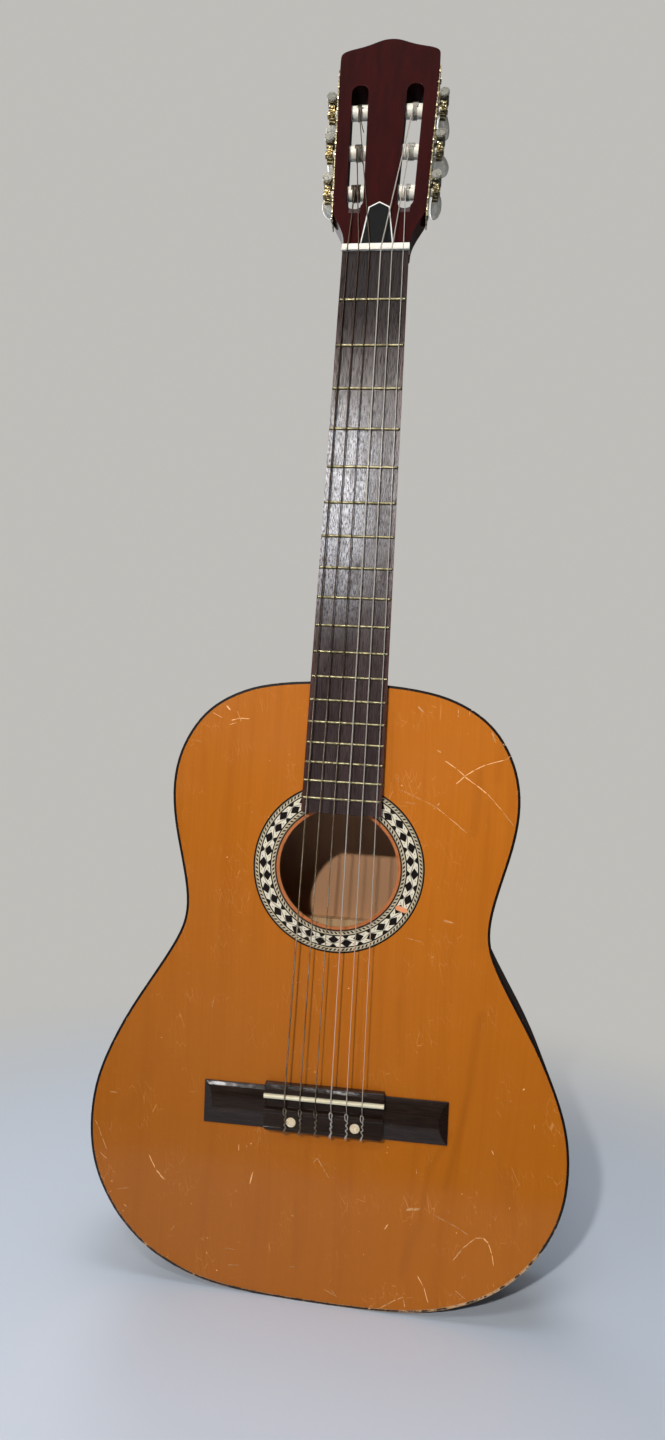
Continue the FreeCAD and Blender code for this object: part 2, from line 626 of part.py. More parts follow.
# String slots, rounded at both ends.
SW = D("slot_wide")
SLOT_U = -16.9
for side in (-1, 1):
    v0, v1 = -54.4 + SW / 2, 51.2 - SW / 2
    u = side * SLOT_U
    s = box(u - SW / 2, u + SW / 2, -2, HT + 2, v0, v1)
    s = s.fuse([cyl(SW / 2, (u, -2, v0), (0, 1, 0), HT + 4), cyl(SW / 2, (u, -2, v1), (0, 1, 0), HT + 4)])
    slab = slab.cut(in_head(s, side))
    # A ramp at the slot's lower end, where the outer strings run in.
    ramp = poly_prism([(u - 4.6, -1.0, -62.4), (u - 4.6, 2.6, -48.0), (u - 4.6, -1.0, -48.0)], (9.2, 0, 0))
    slab = slab.cut(in_head(ramp, side))
    for k in (-1, 0, 1):
        v = k * PITCH
        slab = slab.cut(in_head(cyl(RR + GAP, (side * 5, RD, v), (-side, 0, 0), 16.0), side))
        slab = slab.cut(in_head(cyl(2.5 + GAP, (side * -20, RD, v), (-side, 0, 0), 9.2), side))
# Flat seats for the side plates.
for side in (-1, 1):
    seat = box(0, 8, -4, HT + 4, -63, 70.0) if side > 0 else box(-8, 0, -4, HT + 4, -63, 70.0)
    slab = slab.cut(in_head(seat, side))
# Screw holes of the plates.
SCREW_V = (-56.0, -17.5, 17.5, 61.0)
for side in (-1, 1):
    for v in SCREW_V:
        slab = slab.cut(in_head(cyl(1.1, (side * 1, 9.5, v), (-side, 0, 0), 9.0), side))
slab.Placement = LOCAL_HEAD.multiply(slab.Placement)
neck = shaft.fuse(slab)
bar = box(-D("bar_wide") / 2, D("bar_wide") / 2, 0, D("bar_deep"), -18 - D("bar_long"), -18)
neck = neck.cut(bar)
neck = neck.removeSplitter()
shape_part("neck", neck)

# Steel bar let into the neck under the fingerboard.
steel = doc.addObject("Part::Box", "neck_bar")
steel.setExpression("Length", "dims.bar_wide")
steel.setExpression("Width", "dims.bar_deep")
steel.setExpression("Height", "dims.bar_long")
steel.setExpression("Placement.Base.x", "-dims.bar_wide / 2")
steel.setExpression("Placement.Base.y", "dims.top_y")
steel.setExpression("Placement.Base.z", "dims.nut_z - 18 - dims.bar_long")
keep("neck_bar", steel)

# Heel cap: a thin plate on the heel's foot.
slice_face = None
for f in shaft.Faces:
    if abs(f.CenterOfMass.y - heel_plane) < 0.01 and abs(f.normalAt(0, 0).y) > 0.99:
        slice_face = f
if slice_face is None:
    raise RuntimeError("no foot on the heel")
shape_part("heel_cap", slice_face.extrude(V(0, 4.5, 0)))

# Badge plate on the head: a dark pointed shield with a pale border, no lettering.
shield = [(0, 38.2), (8.15, 33.8), (13.1, 0.6), (-13.1, 0.6), (-8.15, 33.8)]


def inset(poly, d):
    """The polygon with every side moved inward by d."""
    n = len(poly)
    area = sum(poly[i][0] * poly[(i + 1) % n][1] - poly[(i + 1) % n][0] * poly[i][1] for i in range(n))
    sgn = 1 if area > 0 else -1
    lines = []
    for i in range(n):
        (x0, z0), (x1, z1) = poly[i], poly[(i + 1) % n]
        L = math.hypot(x1 - x0, z1 - z0)
        nx, nz = -(z1 - z0) / L * sgn, (x1 - x0) / L * sgn
        lines.append((x0 + nx * d, z0 + nz * d, x1 - x0, z1 - z0))
    out = []
    for i in range(n):
        xa, za, ua, wa = lines[i - 1]
        xb, zb, ub, wb = lines[i]
        det = ua * -wb + ub * wa
        t = ((xb - xa) * -wb + ub * (zb - za)) / det
        out.append((xa + ua * t, za + wa * t))
    return out


inner_shield = inset(shield, 0.85)
outer_prism = poly_prism([(x, 0, z) for x, z in shield], (0, -0.9, 0))
hole_prism = poly_prism([(x, 1, z) for x, z in inner_shield], (0, -3, 0))
shape_part("badge_border", outer_prism.cut(hole_prism), HEAD)
shape_part("head_badge", poly_prism([(x, 0, z) for x, z in inner_shield], (0, -0.8, 0)), HEAD)

# --------------------------------------------------------------------------- tuning machines
N, M = int(D("cog_teeth")), D("cog_module")
RC = N * M / 2  # cog pitch radius
RW = D("worm_pitch_radius")
LEAD = math.pi * M
WU = D("worm_u")
WV = RC + RW  # worm axis above the roller axis
CT = D("cog_thick")
TP = D("plate_thick")
ADD, DED = 0.72, 0.98


def cog_profile(phase):
    """One closed polygon of the cog in the y-z plane: tooth tips are narrow, gaps wide."""
    pts = []
    step = 2 * math.pi / N
    for k in range(N):
        a = phase + k * step
        for da, r in ((-0.32, RC - DED), (-0.23, RC - 0.35), (-0.14, RC + 0.25), (-0.075, RC + ADD), (0.075, RC + ADD), (0.14, RC + 0.25), (0.23, RC - 0.35), (0.32, RC - DED)):
            pts.append((a + da * step, r))
    return pts


def make_cog(side, v, phase):
    """Cog with a helical twist to match the worm's lead, bored for the roller's post."""
    twist = LEAD / (2 * math.pi * RW)  # tooth slope, mm of rim per mm of width
    wires = []
    for u in (WU - CT / 2, WU + CT / 2):
        da = side * (u - WU) * twist / RC * HAND
        pts = [V(side * u, RD + r * math.sin(a + da), v + r * math.cos(a + da)) for a, r in cog_profile(phase)]
        wires.append(Part.makePolygon(pts + [pts[0]]))
    solid = Part.makeLoft(wires, True, True)
    solid = solid.cut(cyl(3.0, (side * (WU - CT / 2 - 1), RD, v), (side, 0, 0), CT + 2))
    return solid


HAND = -1  # the cog's teeth lean to suit right-handed worms
PHASE = 0.09  # share of a tooth that puts a gap of the cog on the worm's thread at rest


def make_worm(side, v):
    """Worm shaft: round cap in front, thread between the two lugs, and a tail for the button."""
    x, z = side * WU, v + WV
    core = cyl(1.95, (x, 2.6, z), (0, 1, 0), 26.4)
    core = core.fuse([
        cyl(4.0, (x, 0.9, z), (0, 1, 0), 1.75),
        cyl(3.4, (x, 0.3, z), (0, 1, 0), 0.65),
        cyl(2.2, (x, 4.5, z), (0, 1, 0), 10.4),
        cyl(3.1, (x, 16.9, z), (0, 1, 0), 2.2),
        cyl(2.4, (x, 19.0, z), (0, 1, 0), 6.0),
    ])
    # Thread: a trapezoid section swept along a helix about the shaft.
    turns = 3.3
    height = LEAD * turns
    helix = Part.makeHelix(LEAD, height, RW - 1.3, 0, HELIX_LEFT)
    # The section lies in the x-z plane at the helix's start and digs 0.2 mm into the core.
    r0, r1 = 1.95, RW + 0.70
    a0, a1 = 0.68, 0.28
    sec_wire = Part.makePolygon([V(r0, 0, -a0), V(r1, 0, -a1), V(r1, 0, a1), V(r0, 0, a0), V(r0, 0, -a0)])
    sweep = Part.Wire(helix.Edges).makePipeShell([sec_wire], True, True)
    # Stand the helix on the y axis, starting on the side away from the cog.
    sweep.Placement = App.Placement(V(x, 0, z), App.Rotation()).multiply(App.Placement(V(0, RD - height / 2, 0), App.Rotation(V(1, 0, 0), -90)))
    return core.fuse(sweep)


HELIX_LEFT = False

rollers, cogs, worms, buttons = {}, {}, {}, {}
NAMES = {(-1, -1): "e6", (-1, 0): "a5", (-1, 1): "d4", (1, 1): "g3", (1, 0): "b2", (1, -1): "e1"}
BUTTON_TURN = {"e6": 20.0, "a5": 75.0, "d4": 0.0, "g3": 60.0, "b2": 10.0, "e1": 100.0}
axes = {}
for side in (-1, 1):
    frame = HEAD.multiply(tuner_frame(side))
    for k in (-1, 0, 1):
        tag = NAMES[(side, k)]
        v = k * PITCH
        s = side
        # String roller: barrel across the slot, journal in the centre rib, post through the plate.
        barrel = cyl(RR, (s * -0.5, RD, v), (-s, 0, 0), 23.0)
        barrel = barrel.fuse([cyl(2.5, (s * -23.0, RD, v), (-s, 0, 0), 5.8), cyl(3.0, (s * -1.0, RD, v), (s, 0, 0), 1.0 + WU + CT / 2)])
        barrel = barrel.cut(cyl(1.1, (s * (WU + CT / 2 + 0.5), RD, v), (-s, 0, 0), 7.0))
        # Two string holes through the barrel, in the slot.
        barrel = barrel.cut(cyl(0.9, (s * SLOT_U + 2.2, RD - 8, v), (0, 1, 0), 16))
        rollers[tag] = shape_part(f"string_roller_{tag}", barrel.removeSplitter(), frame)
        # Cog and the screw that holds it.
        cog = make_cog(s, v, PHASE * 2 * math.pi / N)
        scr = cyl(2.7, (s * (WU + CT / 2), RD, v), (s, 0, 0), 1.3)
        face = WU + CT / 2 + 0.7  # floor of the screw's driver slot
        scr = scr.cut(box(min(s * face, s * (face + 2)), max(s * face, s * (face + 2)), RD - 4, RD + 4, v - 0.4, v + 0.4))
        scr = scr.fuse(cyl(1.1, (s * (WU + CT / 2), RD, v), (-s, 0, 0), 6.0))
        cogs[tag] = shape_part(f"tuner_cog_{tag}", Part.makeCompound([cog, scr.removeSplitter()]), frame)
        worm = make_worm(s, v)
        worms[tag] = shape_part(f"tuner_worm_{tag}", worm, frame)
        # Pearloid button: an oval paddle on the shaft's tail.
        bx, bz = s * WU, v + WV
        ovals = []
        for d, a, b in ((25.0, 2.9, 2.9), (28.0, 4.6, 3.5), (33.0, 7.0, 4.2), (38.5, 7.7, 4.5), (43.5, 6.7, 4.0), (46.2, 4.4, 2.7)):
            e = Part.Ellipse(V(0, 0, 0), a, b).toShape()
            w = Part.Wire([e])
            w.Placement = App.Placement(V(0, d, 0), App.Rotation(V(1, 0, 0), 90))
            ovals.append(w)
        knob = Part.makeLoft(ovals, True, False)
        knob = knob.cut(cyl(1.95, (0, 0, 0), (0, 1, 0), 29.0))
        knob.Placement = App.Placement(V(bx, 0, bz), App.Rotation(V(0, 1, 0), BUTTON_TURN[tag]))
        buttons[tag] = shape_part(f"tuner_button_{tag}", knob, frame)
        p = frame.multVec(V(s * WU, RD, v + WV))
        a = frame.Rotation.multVec(V(0, 1, 0))
        q = frame.multVec(V(s * WU, RD, v))
        b = frame.Rotation.multVec(V(1, 0, 0))
        axes[tag] = (p, a, q, b)

# Side plates with two lugs for each worm.
screws = []
for side in (-1, 1):
    s = side
    frame = HEAD.multiply(tuner_frame(side))
    lo = min(0, s * TP)
    strip = box(lo, lo + TP, 1.2, 17.8, -60.5, 67.5)
    parts = []
    # Scalloped long edges.
    for i in range(13):
        v = -55.5 + i * 9.8
        for y in (2.2, 16.8):
            parts.append(cyl(2.0, (0, y, v), (s, 0, 0), TP))
    plate = strip.fuse(parts)
    for k in (-1, 0, 1):
        v = k * PITCH
        plate = plate.cut(cyl(3.0 + GAP, (s * -1, RD, v), (s, 0, 0), 4))
        for y0 in (3.1, 15.45):
            lug = box(min(0, s * (WU + 2.6)), max(0, s * (WU + 2.6)), y0, y0 + 1.2, v + WV - 3.2, v + WV + 3.2)
            lug = lug.fuse(cyl(3.2, (s * (WU + 0.2), y0, v + WV), (0, 1, 0), 1.2))
            lug = lug.common(box(-30, 30, 0, 30, v + WV - 3.2, v + WV + 3.2))
            plate = plate.fuse(lug)
        plate = plate.cut(cyl(1.95 + GAP, (s * WU, -2, v + WV), (0, 1, 0), 30))
    for v in SCREW_V:
        plate = plate.cut(cyl(1.1, (s * -1, 9.5, v), (s, 0, 0), 4))
        head = cyl(2.1, (s * TP, 9.5, v), (s, 0, 0), 0.9)
        head = head.fuse(cyl(1.1, (s * TP, 9.5, v), (-s, 0, 0), 8.5))
        head = head.cut(box(min(s * (TP + 0.5), s * 5), max(s * (TP + 0.5), s * 5), 5, 14, v - 0.3, v + 0.3))
        head.Placement = frame.multiply(head.Placement)
        screws.append(head.removeSplitter())
    name = "tuner_plate_bass" if side < 0 else "tuner_plate_treble"
    shape_part(name, plate.removeSplitter(), frame)
shape_part("tuner_plate_screws", Part.makeCompound([s for h in screws for s in h.Solids]), App.Placement())

# --------------------------------------------------------------------------- strings
POS = {"e6": (-1, -1), "a5": (-1, 0), "d4": (-1, 1), "g3": (1, 1), "b2": (1, 0), "e1": (1, -1)}
WIND_U = {"e6": 0.5, "a5": 0.5, "d4": 0.5, "g3": 0.5, "b2": 0.5, "e1": 0.5}


def arc_path(points, radii):
    """Straight runs joined by tangent arcs."""
    edges = []
    start = points[0]
    for i in range(1, len(points) - 1):
        p, a, b = points[i], points[i - 1], points[i + 1]
        u, w = (a - p), (b - p)
        u.normalize()
        w.normalize()
        half = u.getAngle(w) / 2
        t = radii[i - 1] / math.tan(half)
        bis = u + w
        bis.normalize()
        centre = p + bis * (radii[i - 1] / math.sin(half))
        p0, p1 = p + u * t, p + w * t
        mid = centre - bis * radii[i - 1]
        edges.append(Part.LineSegment(start, p0).toShape())
        edges.append(Part.Arc(p0, mid, p1).toShape())
        start = p1
    edges.append(Part.LineSegment(start, points[-1]).toShape())
    return Part.Wire(edges)


def tube(path, r):
    e = path.Edges[0]
    p = e.valueAt(e.FirstParameter)
    d = e.tangentAt(e.FirstParameter)
    ring = Part.Wire([Part.Circle(p, d, r).toShape()])
    return path.makePipeShell([ring], True, True)


nut_cuts = []
for name, r, xs, xn in STRINGS:
    tag = name.split("_")[1]
    side, k = POS[tag]
    # Where the string meets its roller: the front of the barrel, just clear of it.
    lf = LOCAL_HEAD.multiply(tuner_frame(side))
    meet = lf.multVec(V(side * SLOT_U - 0.6, RD - RR - r - 0.12, k * PITCH - 0.5))
    sc = ST / 2 + r + 0.03
    crest_z = saddle_z0 - ST / 2
    crest_y = SAD_Y + ST / 2
    nut_at = V(xn, NUT_Y - r, 1.2)
    nut_pt = BRIDGE_AT.inverse().multVec(nut_at)
    tie = V(xs, TIE_Y, -668.8)
    end = V(xs, TIE_Y, -688.8)
    # The corner above the saddle: both runs are tangent to a circle round the crest.
    c = V(xs, crest_y, crest_z)
    def tangent_from(pt, toward):
        """The direction from pt that just touches the circle of radius sc about the crest, in front of it."""
        dy, dz = c.y - pt.y, c.z - pt.z
        dist = math.hypot(dy, dz)
        base = math.atan2(dy, dz)
        off = math.asin(sc / dist)
        return base + toward * off
    best = None
    for sg1 in (-1, 1):
        for sg2 in (-1, 1):
            a1 = tangent_from(nut_pt, sg1)
            a2 = tangent_from(tie, sg2)
            # intersection of the two lines in the y-z plane
            d1 = (math.sin(a1), math.cos(a1))
            d2 = (math.sin(a2), math.cos(a2))
            det = d1[0] * -d2[1] + d2[0] * d1[1]
            if abs(det) < 1e-9:
                continue
            t1 = ((tie.y - nut_pt.y) * -d2[1] + d2[0] * (tie.z - nut_pt.z)) / det
            y, z = nut_pt.y + d1[0] * t1, nut_pt.z + d1[1] * t1
            if y < SAD_Y - r * 0.5 and abs(z - crest_z) < 6 and (best is None or y < best[0]):
                best = (y, z)
    corner = V(xs, best[0], best[1])
    end, tie, corner, nut_pt = (BRIDGE_AT.multVec(q) for q in (end, tie, corner, nut_pt))
    path = arc_path([end, tie, corner, nut_pt, meet], [3.0, sc, 4.0])
    shape_part(name, tube(path, r))
    groove = tube(arc_path([corner, nut_pt, meet], [4.0]), r + 0.02)
    nut_cuts.append((groove, xn, r))
for groove, xn, r in nut_cuts:
    nut = nut.cut(groove)
    nut = nut.cut(box(xn - r - 0.02, xn + r + 0.02, -20, NUT_Y - r, -1, 1.2))
    # open the slot above the string along its bent run
    g2 = groove.copy()
    g2.translate(V(0, -0.6, 0))
    nut = nut.cut(g2)
solids = sorted(nut.Solids, key=lambda q: -q.Volume)
shape_part("nut", solids[0])

# --------------------------------------------------------------------------- check and write
doc.recompute()
bad = [o.Name for o in doc.Objects if "Invalid" in o.State or "Error" in o.State]
if bad:
    raise RuntimeError(f"failed objects: {bad}")
for name, obj in made:
    shape = obj.Shape
    if shape.isNull() or not shape.isValid() or shape.Volume <= 0 or not shape.Solids:
        raise RuntimeError(f"bad shape: {name} null={shape.isNull()} valid={shape.isValid()}")
if len({name for name, _ in made}) != len(made) or len(made) > 60:
    raise RuntimeError("node names or count")
os.makedirs("parts", exist_ok=True)
box_all = App.BoundBox()
for name, obj in made:
    obj.Shape.exportStep(f"parts/{name}.step")
    box_all.add(obj.Shape.BoundBox)
    print(f"{name:24s} solids {len(obj.Shape.Solids):3d} volume {obj.Shape.Volume:12.1f}")
print("nodes", len(made), "box", box_all)
for tag, (p, a, q, b) in axes.items():
    print("axis", tag, "peg", [round(c, 4) for c in p], [round(c, 6) for c in a], "roller", [round(c, 4) for c in q], [round(c, 6) for c in b])
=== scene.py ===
import json
import math
import random

import bpy
import bmesh
import numpy as np
from mathutils import Matrix, Quaternion, Vector


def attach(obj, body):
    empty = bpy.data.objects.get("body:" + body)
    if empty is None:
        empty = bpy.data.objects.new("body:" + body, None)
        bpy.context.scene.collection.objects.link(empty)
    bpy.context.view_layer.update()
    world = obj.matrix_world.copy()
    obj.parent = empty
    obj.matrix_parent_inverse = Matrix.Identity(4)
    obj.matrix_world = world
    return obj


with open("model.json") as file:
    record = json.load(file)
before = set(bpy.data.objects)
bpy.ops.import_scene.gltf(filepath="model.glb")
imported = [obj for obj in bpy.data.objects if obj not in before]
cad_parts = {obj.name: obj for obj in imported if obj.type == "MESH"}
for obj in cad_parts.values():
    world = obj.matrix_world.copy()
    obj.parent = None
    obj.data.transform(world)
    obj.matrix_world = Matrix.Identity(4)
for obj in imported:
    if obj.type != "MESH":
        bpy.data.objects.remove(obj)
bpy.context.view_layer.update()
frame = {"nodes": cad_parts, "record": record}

NODES = frame["nodes"]
TAGS = ("e6", "a5", "d4", "g3", "b2", "e1")
TOP_Y = -0.04078  # soundboard face
NUT_Z = 0.8282  # nut's front edge
HOLE = (0.0, 0.3532)  # soundhole centre, x and z


def at(x, y, z):
    """A point given in millimetres from the nut's front edge on the soundboard's plane, in the row frame."""
    return Vector((x / 1000.0, y / 1000.0 + TOP_Y, z / 1000.0 + NUT_Z))


# ------------------------------------------------------------------ shader building
class Num:
    """A scalar socket with arithmetic."""

    def __init__(self, m, s):
        self.m, self.s = m, s

    def _op(self, op, *others, clamp=False):
        return self.m.math(op, self, *others, clamp=clamp)

    def __add__(self, o):
        return self._op("ADD", o)

    __radd__ = __add__

    def __sub__(self, o):
        return self._op("SUBTRACT", o)

    def __rsub__(self, o):
        return self.m.math("SUBTRACT", o, self)

    def __mul__(self, o):
        return self._op("MULTIPLY", o)

    __rmul__ = __mul__

    def __truediv__(self, o):
        return self._op("DIVIDE", o)

    def __rtruediv__(self, o):
        return self.m.math("DIVIDE", o, self)

    def __neg__(self):
        return self._op("MULTIPLY", -1.0)

    def abs(self):
        return self._op("ABSOLUTE")

    def min(self, o):
        return self._op("MINIMUM", o)

    def max(self, o):
        return self._op("MAXIMUM", o)

    def pow(self, o):
        return self._op("POWER", o)

    def sin(self):
        return self._op("SINE")

    def fract(self):
        return self._op("FRACT")

    def floor(self):
        return self._op("FLOOR")

    def sat(self):
        return self.m.math("ADD", self, 0.0, clamp=True)

    def step(self, a, b):
        """Smooth 0 to 1 as the value goes from a to b."""
        return self.m.ramp01(self, a, b)

    def mad(self, k, c, clamp=False):
        return self.m.math("MULTIPLY_ADD", self, k, c, clamp=clamp)


class Mat:
    """A procedural material: a principled shader and the nodes that feed it."""

    def __init__(self, name, **sockets):
        self.mat = bpy.data.materials.new(name)
        self.mat.use_nodes = True
        self.t = self.mat.node_tree
        self.t.nodes.clear()
        self.out = self.t.nodes.new("ShaderNodeOutputMaterial")
        self.bsdf = self.t.nodes.new("ShaderNodeBsdfPrincipled")
        self.t.links.new(self.bsdf.outputs[0], self.out.inputs[0])
        self._tc = None
        self._cache = {}
        for k, v in sockets.items():
            self.set(k, v)

    def node(self, kind, **props):
        n = self.t.nodes.new(kind)
        for k, v in props.items():
            setattr(n, k, v)
        return n

    def set(self, key, v):
        names = {
            "color": "Base Color", "rough": "Roughness", "metal": "Metallic", "coat": "Coat Weight",
            "coat_rough": "Coat Roughness", "spec": "Specular IOR Level", "ior": "IOR", "trans": "Transmission Weight",
            "sss": "Subsurface Weight", "sss_radius": "Subsurface Radius", "sss_scale": "Subsurface Scale",
            "sheen": "Sheen Weight", "aniso": "Anisotropic", "normal": "Normal", "coat_normal": "Coat Normal",
            "alpha": "Alpha", "coat_tint": "Coat Tint", "coat_ior": "Coat IOR",
        }
        sock = self.bsdf.inputs[names.get(key, key)]
        if isinstance(v, Num):
            self.t.links.new(v.s, sock)
        elif hasattr(v, "is_output"):
            self.t.links.new(v, sock)
        elif isinstance(v, (tuple, list)) and len(v) == 3 and sock.type == "RGBA":
            sock.default_value = (*v, 1.0)
        else:
            sock.default_value = v
        return self

    def _in(self, sock, v):
        if isinstance(v, Num):
            self.t.links.new(v.s, sock)
        elif hasattr(v, "is_output"):
            self.t.links.new(v, sock)
        elif isinstance(v, (tuple, list)):
            if sock.type == "RGBA" and len(v) == 3:
                v = (*v, 1.0)
            sock.default_value = v
        else:
            sock.default_value = v

    def math(self, op, a, b=None, c=None, clamp=False):
        n = self.node("ShaderNodeMath", operation=op, use_clamp=clamp)
        for i, v in enumerate((a, b, c)):
            if v is not None:
                self._in(n.inputs[i], v)
        return Num(self, n.outputs[0])

    def vmath(self, op, a, b=None, c=None, scale=None):
        n = self.node("ShaderNodeVectorMath", operation=op)
        for i, v in enumerate((a, b, c)):
            if v is not None:
                self._in(n.inputs[i], v)
        if scale is not None:
            self._in(n.inputs["Scale"], scale)
        if op in ("DOT_PRODUCT", "LENGTH", "DISTANCE"):
            return Num(self, n.outputs["Value"])
        return n.outputs["Vector"]

    def mm(self):
        """Object coordinates in millimetres."""
        if "mm" not in self._cache:
            tc = self.node("ShaderNodeTexCoord")
            self._cache["mm"] = self.vmath("SCALE", tc.outputs["Object"], scale=1000.0)
        return self._cache["mm"]

    def xyz(self, v=None):
        v = self.mm() if v is None else v
        key = ("xyz", v.node.name)
        if key not in self._cache:
            n = self.node("ShaderNodeSeparateXYZ")
            self.t.links.new(v, n.inputs[0])
            self._cache[key] = tuple(Num(self, o) for o in n.outputs)
        return self._cache[key]

    def vec(self, x, y, z):
        n = self.node("ShaderNodeCombineXYZ")
        for i, v in enumerate((x, y, z)):
            self._in(n.inputs[i], v)
        return n.outputs[0]

    def noise(self, v, scale=1.0, detail=2.0, rough=0.5, distort=0.0, color=False):
        n = self.node("ShaderNodeTexNoise")
        self._in(n.inputs["Vector"], v)
        n.inputs["Scale"].default_value = scale
        n.inputs["Detail"].default_value = detail
        n.inputs["Roughness"].default_value = rough
        n.inputs["Distortion"].default_value = distort
        return n.outputs["Color"] if color else Num(self, n.outputs[0])

    def voronoi(self, v, scale=1.0, feature="F1", out="Distance", metric="EUCLIDEAN", randomness=1.0):
        n = self.node("ShaderNodeTexVoronoi", feature=feature)
        if feature != "DISTANCE_TO_EDGE":
            n.distance = metric
        self._in(n.inputs["Vector"], v)
        n.inputs["Scale"].default_value = scale
        n.inputs["Randomness"].default_value = randomness
        return Num(self, n.outputs[out]) if out == "Distance" else n.outputs[out]

    def ramp01(self, v, a, b, smooth=True):
        n = self.node("ShaderNodeMapRange")
        n.interpolation_type = "SMOOTHSTEP" if smooth else "LINEAR"
        n.clamp = True
        self._in(n.inputs["Value"], v)
        for key, val in (("From Min", a), ("From Max", b), ("To Min", 0.0), ("To Max", 1.0)):
            self._in(n.inputs[key], val)
        return Num(self, n.outputs[0])

    def mix(self, fac, a, b, blend="MIX"):
        n = self.node("ShaderNodeMix", data_type="RGBA", blend_type=blend, clamp_factor=True)
        self._in(n.inputs[0], fac)
        self._in(n.inputs[6], a)
        self._in(n.inputs[7], b)
        return n.outputs[2]

    def lerp(self, fac, a, b):
        n = self.node("ShaderNodeMix", data_type="FLOAT", clamp_factor=True)
        self._in(n.inputs[0], fac)
        self._in(n.inputs[2], a)
        self._in(n.inputs[3], b)
        return Num(self, n.outputs[0])

    def scale_color(self, col, k):
        """The colour times a number that varies."""
        n = self.node("ShaderNodeVectorMath", operation="SCALE")
        self._in(n.inputs[0], col)
        self._in(n.inputs["Scale"], k)
        return n.outputs["Vector"]

    def attr(self, name):
        n = self.node("ShaderNodeAttribute", attribute_name=name)
        return Num(self, n.outputs["Fac"])

    def bump(self, height, strength=0.3, dist=0.0003, prev=None):
        n = self.node("ShaderNodeBump")
        n.inputs["Strength"].default_value = strength
        n.inputs["Distance"].default_value = dist
        self._in(n.inputs["Height"], height)
        if prev is not None:
            self.t.links.new(prev, n.inputs["Normal"])
        return n.outputs[0]

    def soft_edge(self, radius):
        """A normal that turns over the edges as if they were eased with fine paper."""
        n = self.node("ShaderNodeBevel", samples=6)
        n.inputs["Radius"].default_value = radius
        return n.outputs[0]

    def world_normal(self):
        g = self.node("ShaderNodeNewGeometry")
        return g.outputs["Normal"]

    def polar(self, cx, cz):
        """Radius and angle about (cx, cz), in millimetres and radians, in the x-z plane."""
        x, _, z = self.xyz()
        dx, dz = x - cx, z - cz
        return (dx * dx + dz * dz).pow(0.5), self.math("ARCTAN2", dz, dx)

    def strokes(self, v2, lines, soft=0.35):
        """Mask of straight strokes. v2 is a vector whose x and z hold the plane; a line is ((x0, z0), (x1, z1), width, strength)."""
        total = None
        for (x0, z0), (x1, z1), w, k in lines:
            dx, dz = x1 - x0, z1 - z0
            ll = max(dx * dx + dz * dz, 1e-6)
            pa = self.vmath("SUBTRACT", v2, (x0, 0.0, z0))
            h = self.vmath("DOT_PRODUCT", pa, (dx / ll, 0.0, dz / ll))
            h = self.math("ADD", h, 0.0, clamp=True)
            near = self.vmath("SCALE", (dx, 0.0, dz), scale=h)
            d = self.vmath("DISTANCE", pa, near)
            mask = self.math("MULTIPLY_ADD", d, -1.0 / w, 1.0, clamp=True)
            # mask peaks at 1 on the line and falls to 0 at distance w
            mask = mask * k
            total = mask if total is None else total.max(mask)
        return total


def srgb(r, g, b):
    """Colour from 0-255 sRGB values."""
    def f(c):
        c /= 255.0
        return c / 12.92 if c <= 0.04045 else ((c + 0.055) / 1.055) ** 2.4

    return (f(r), f(g), f(b))




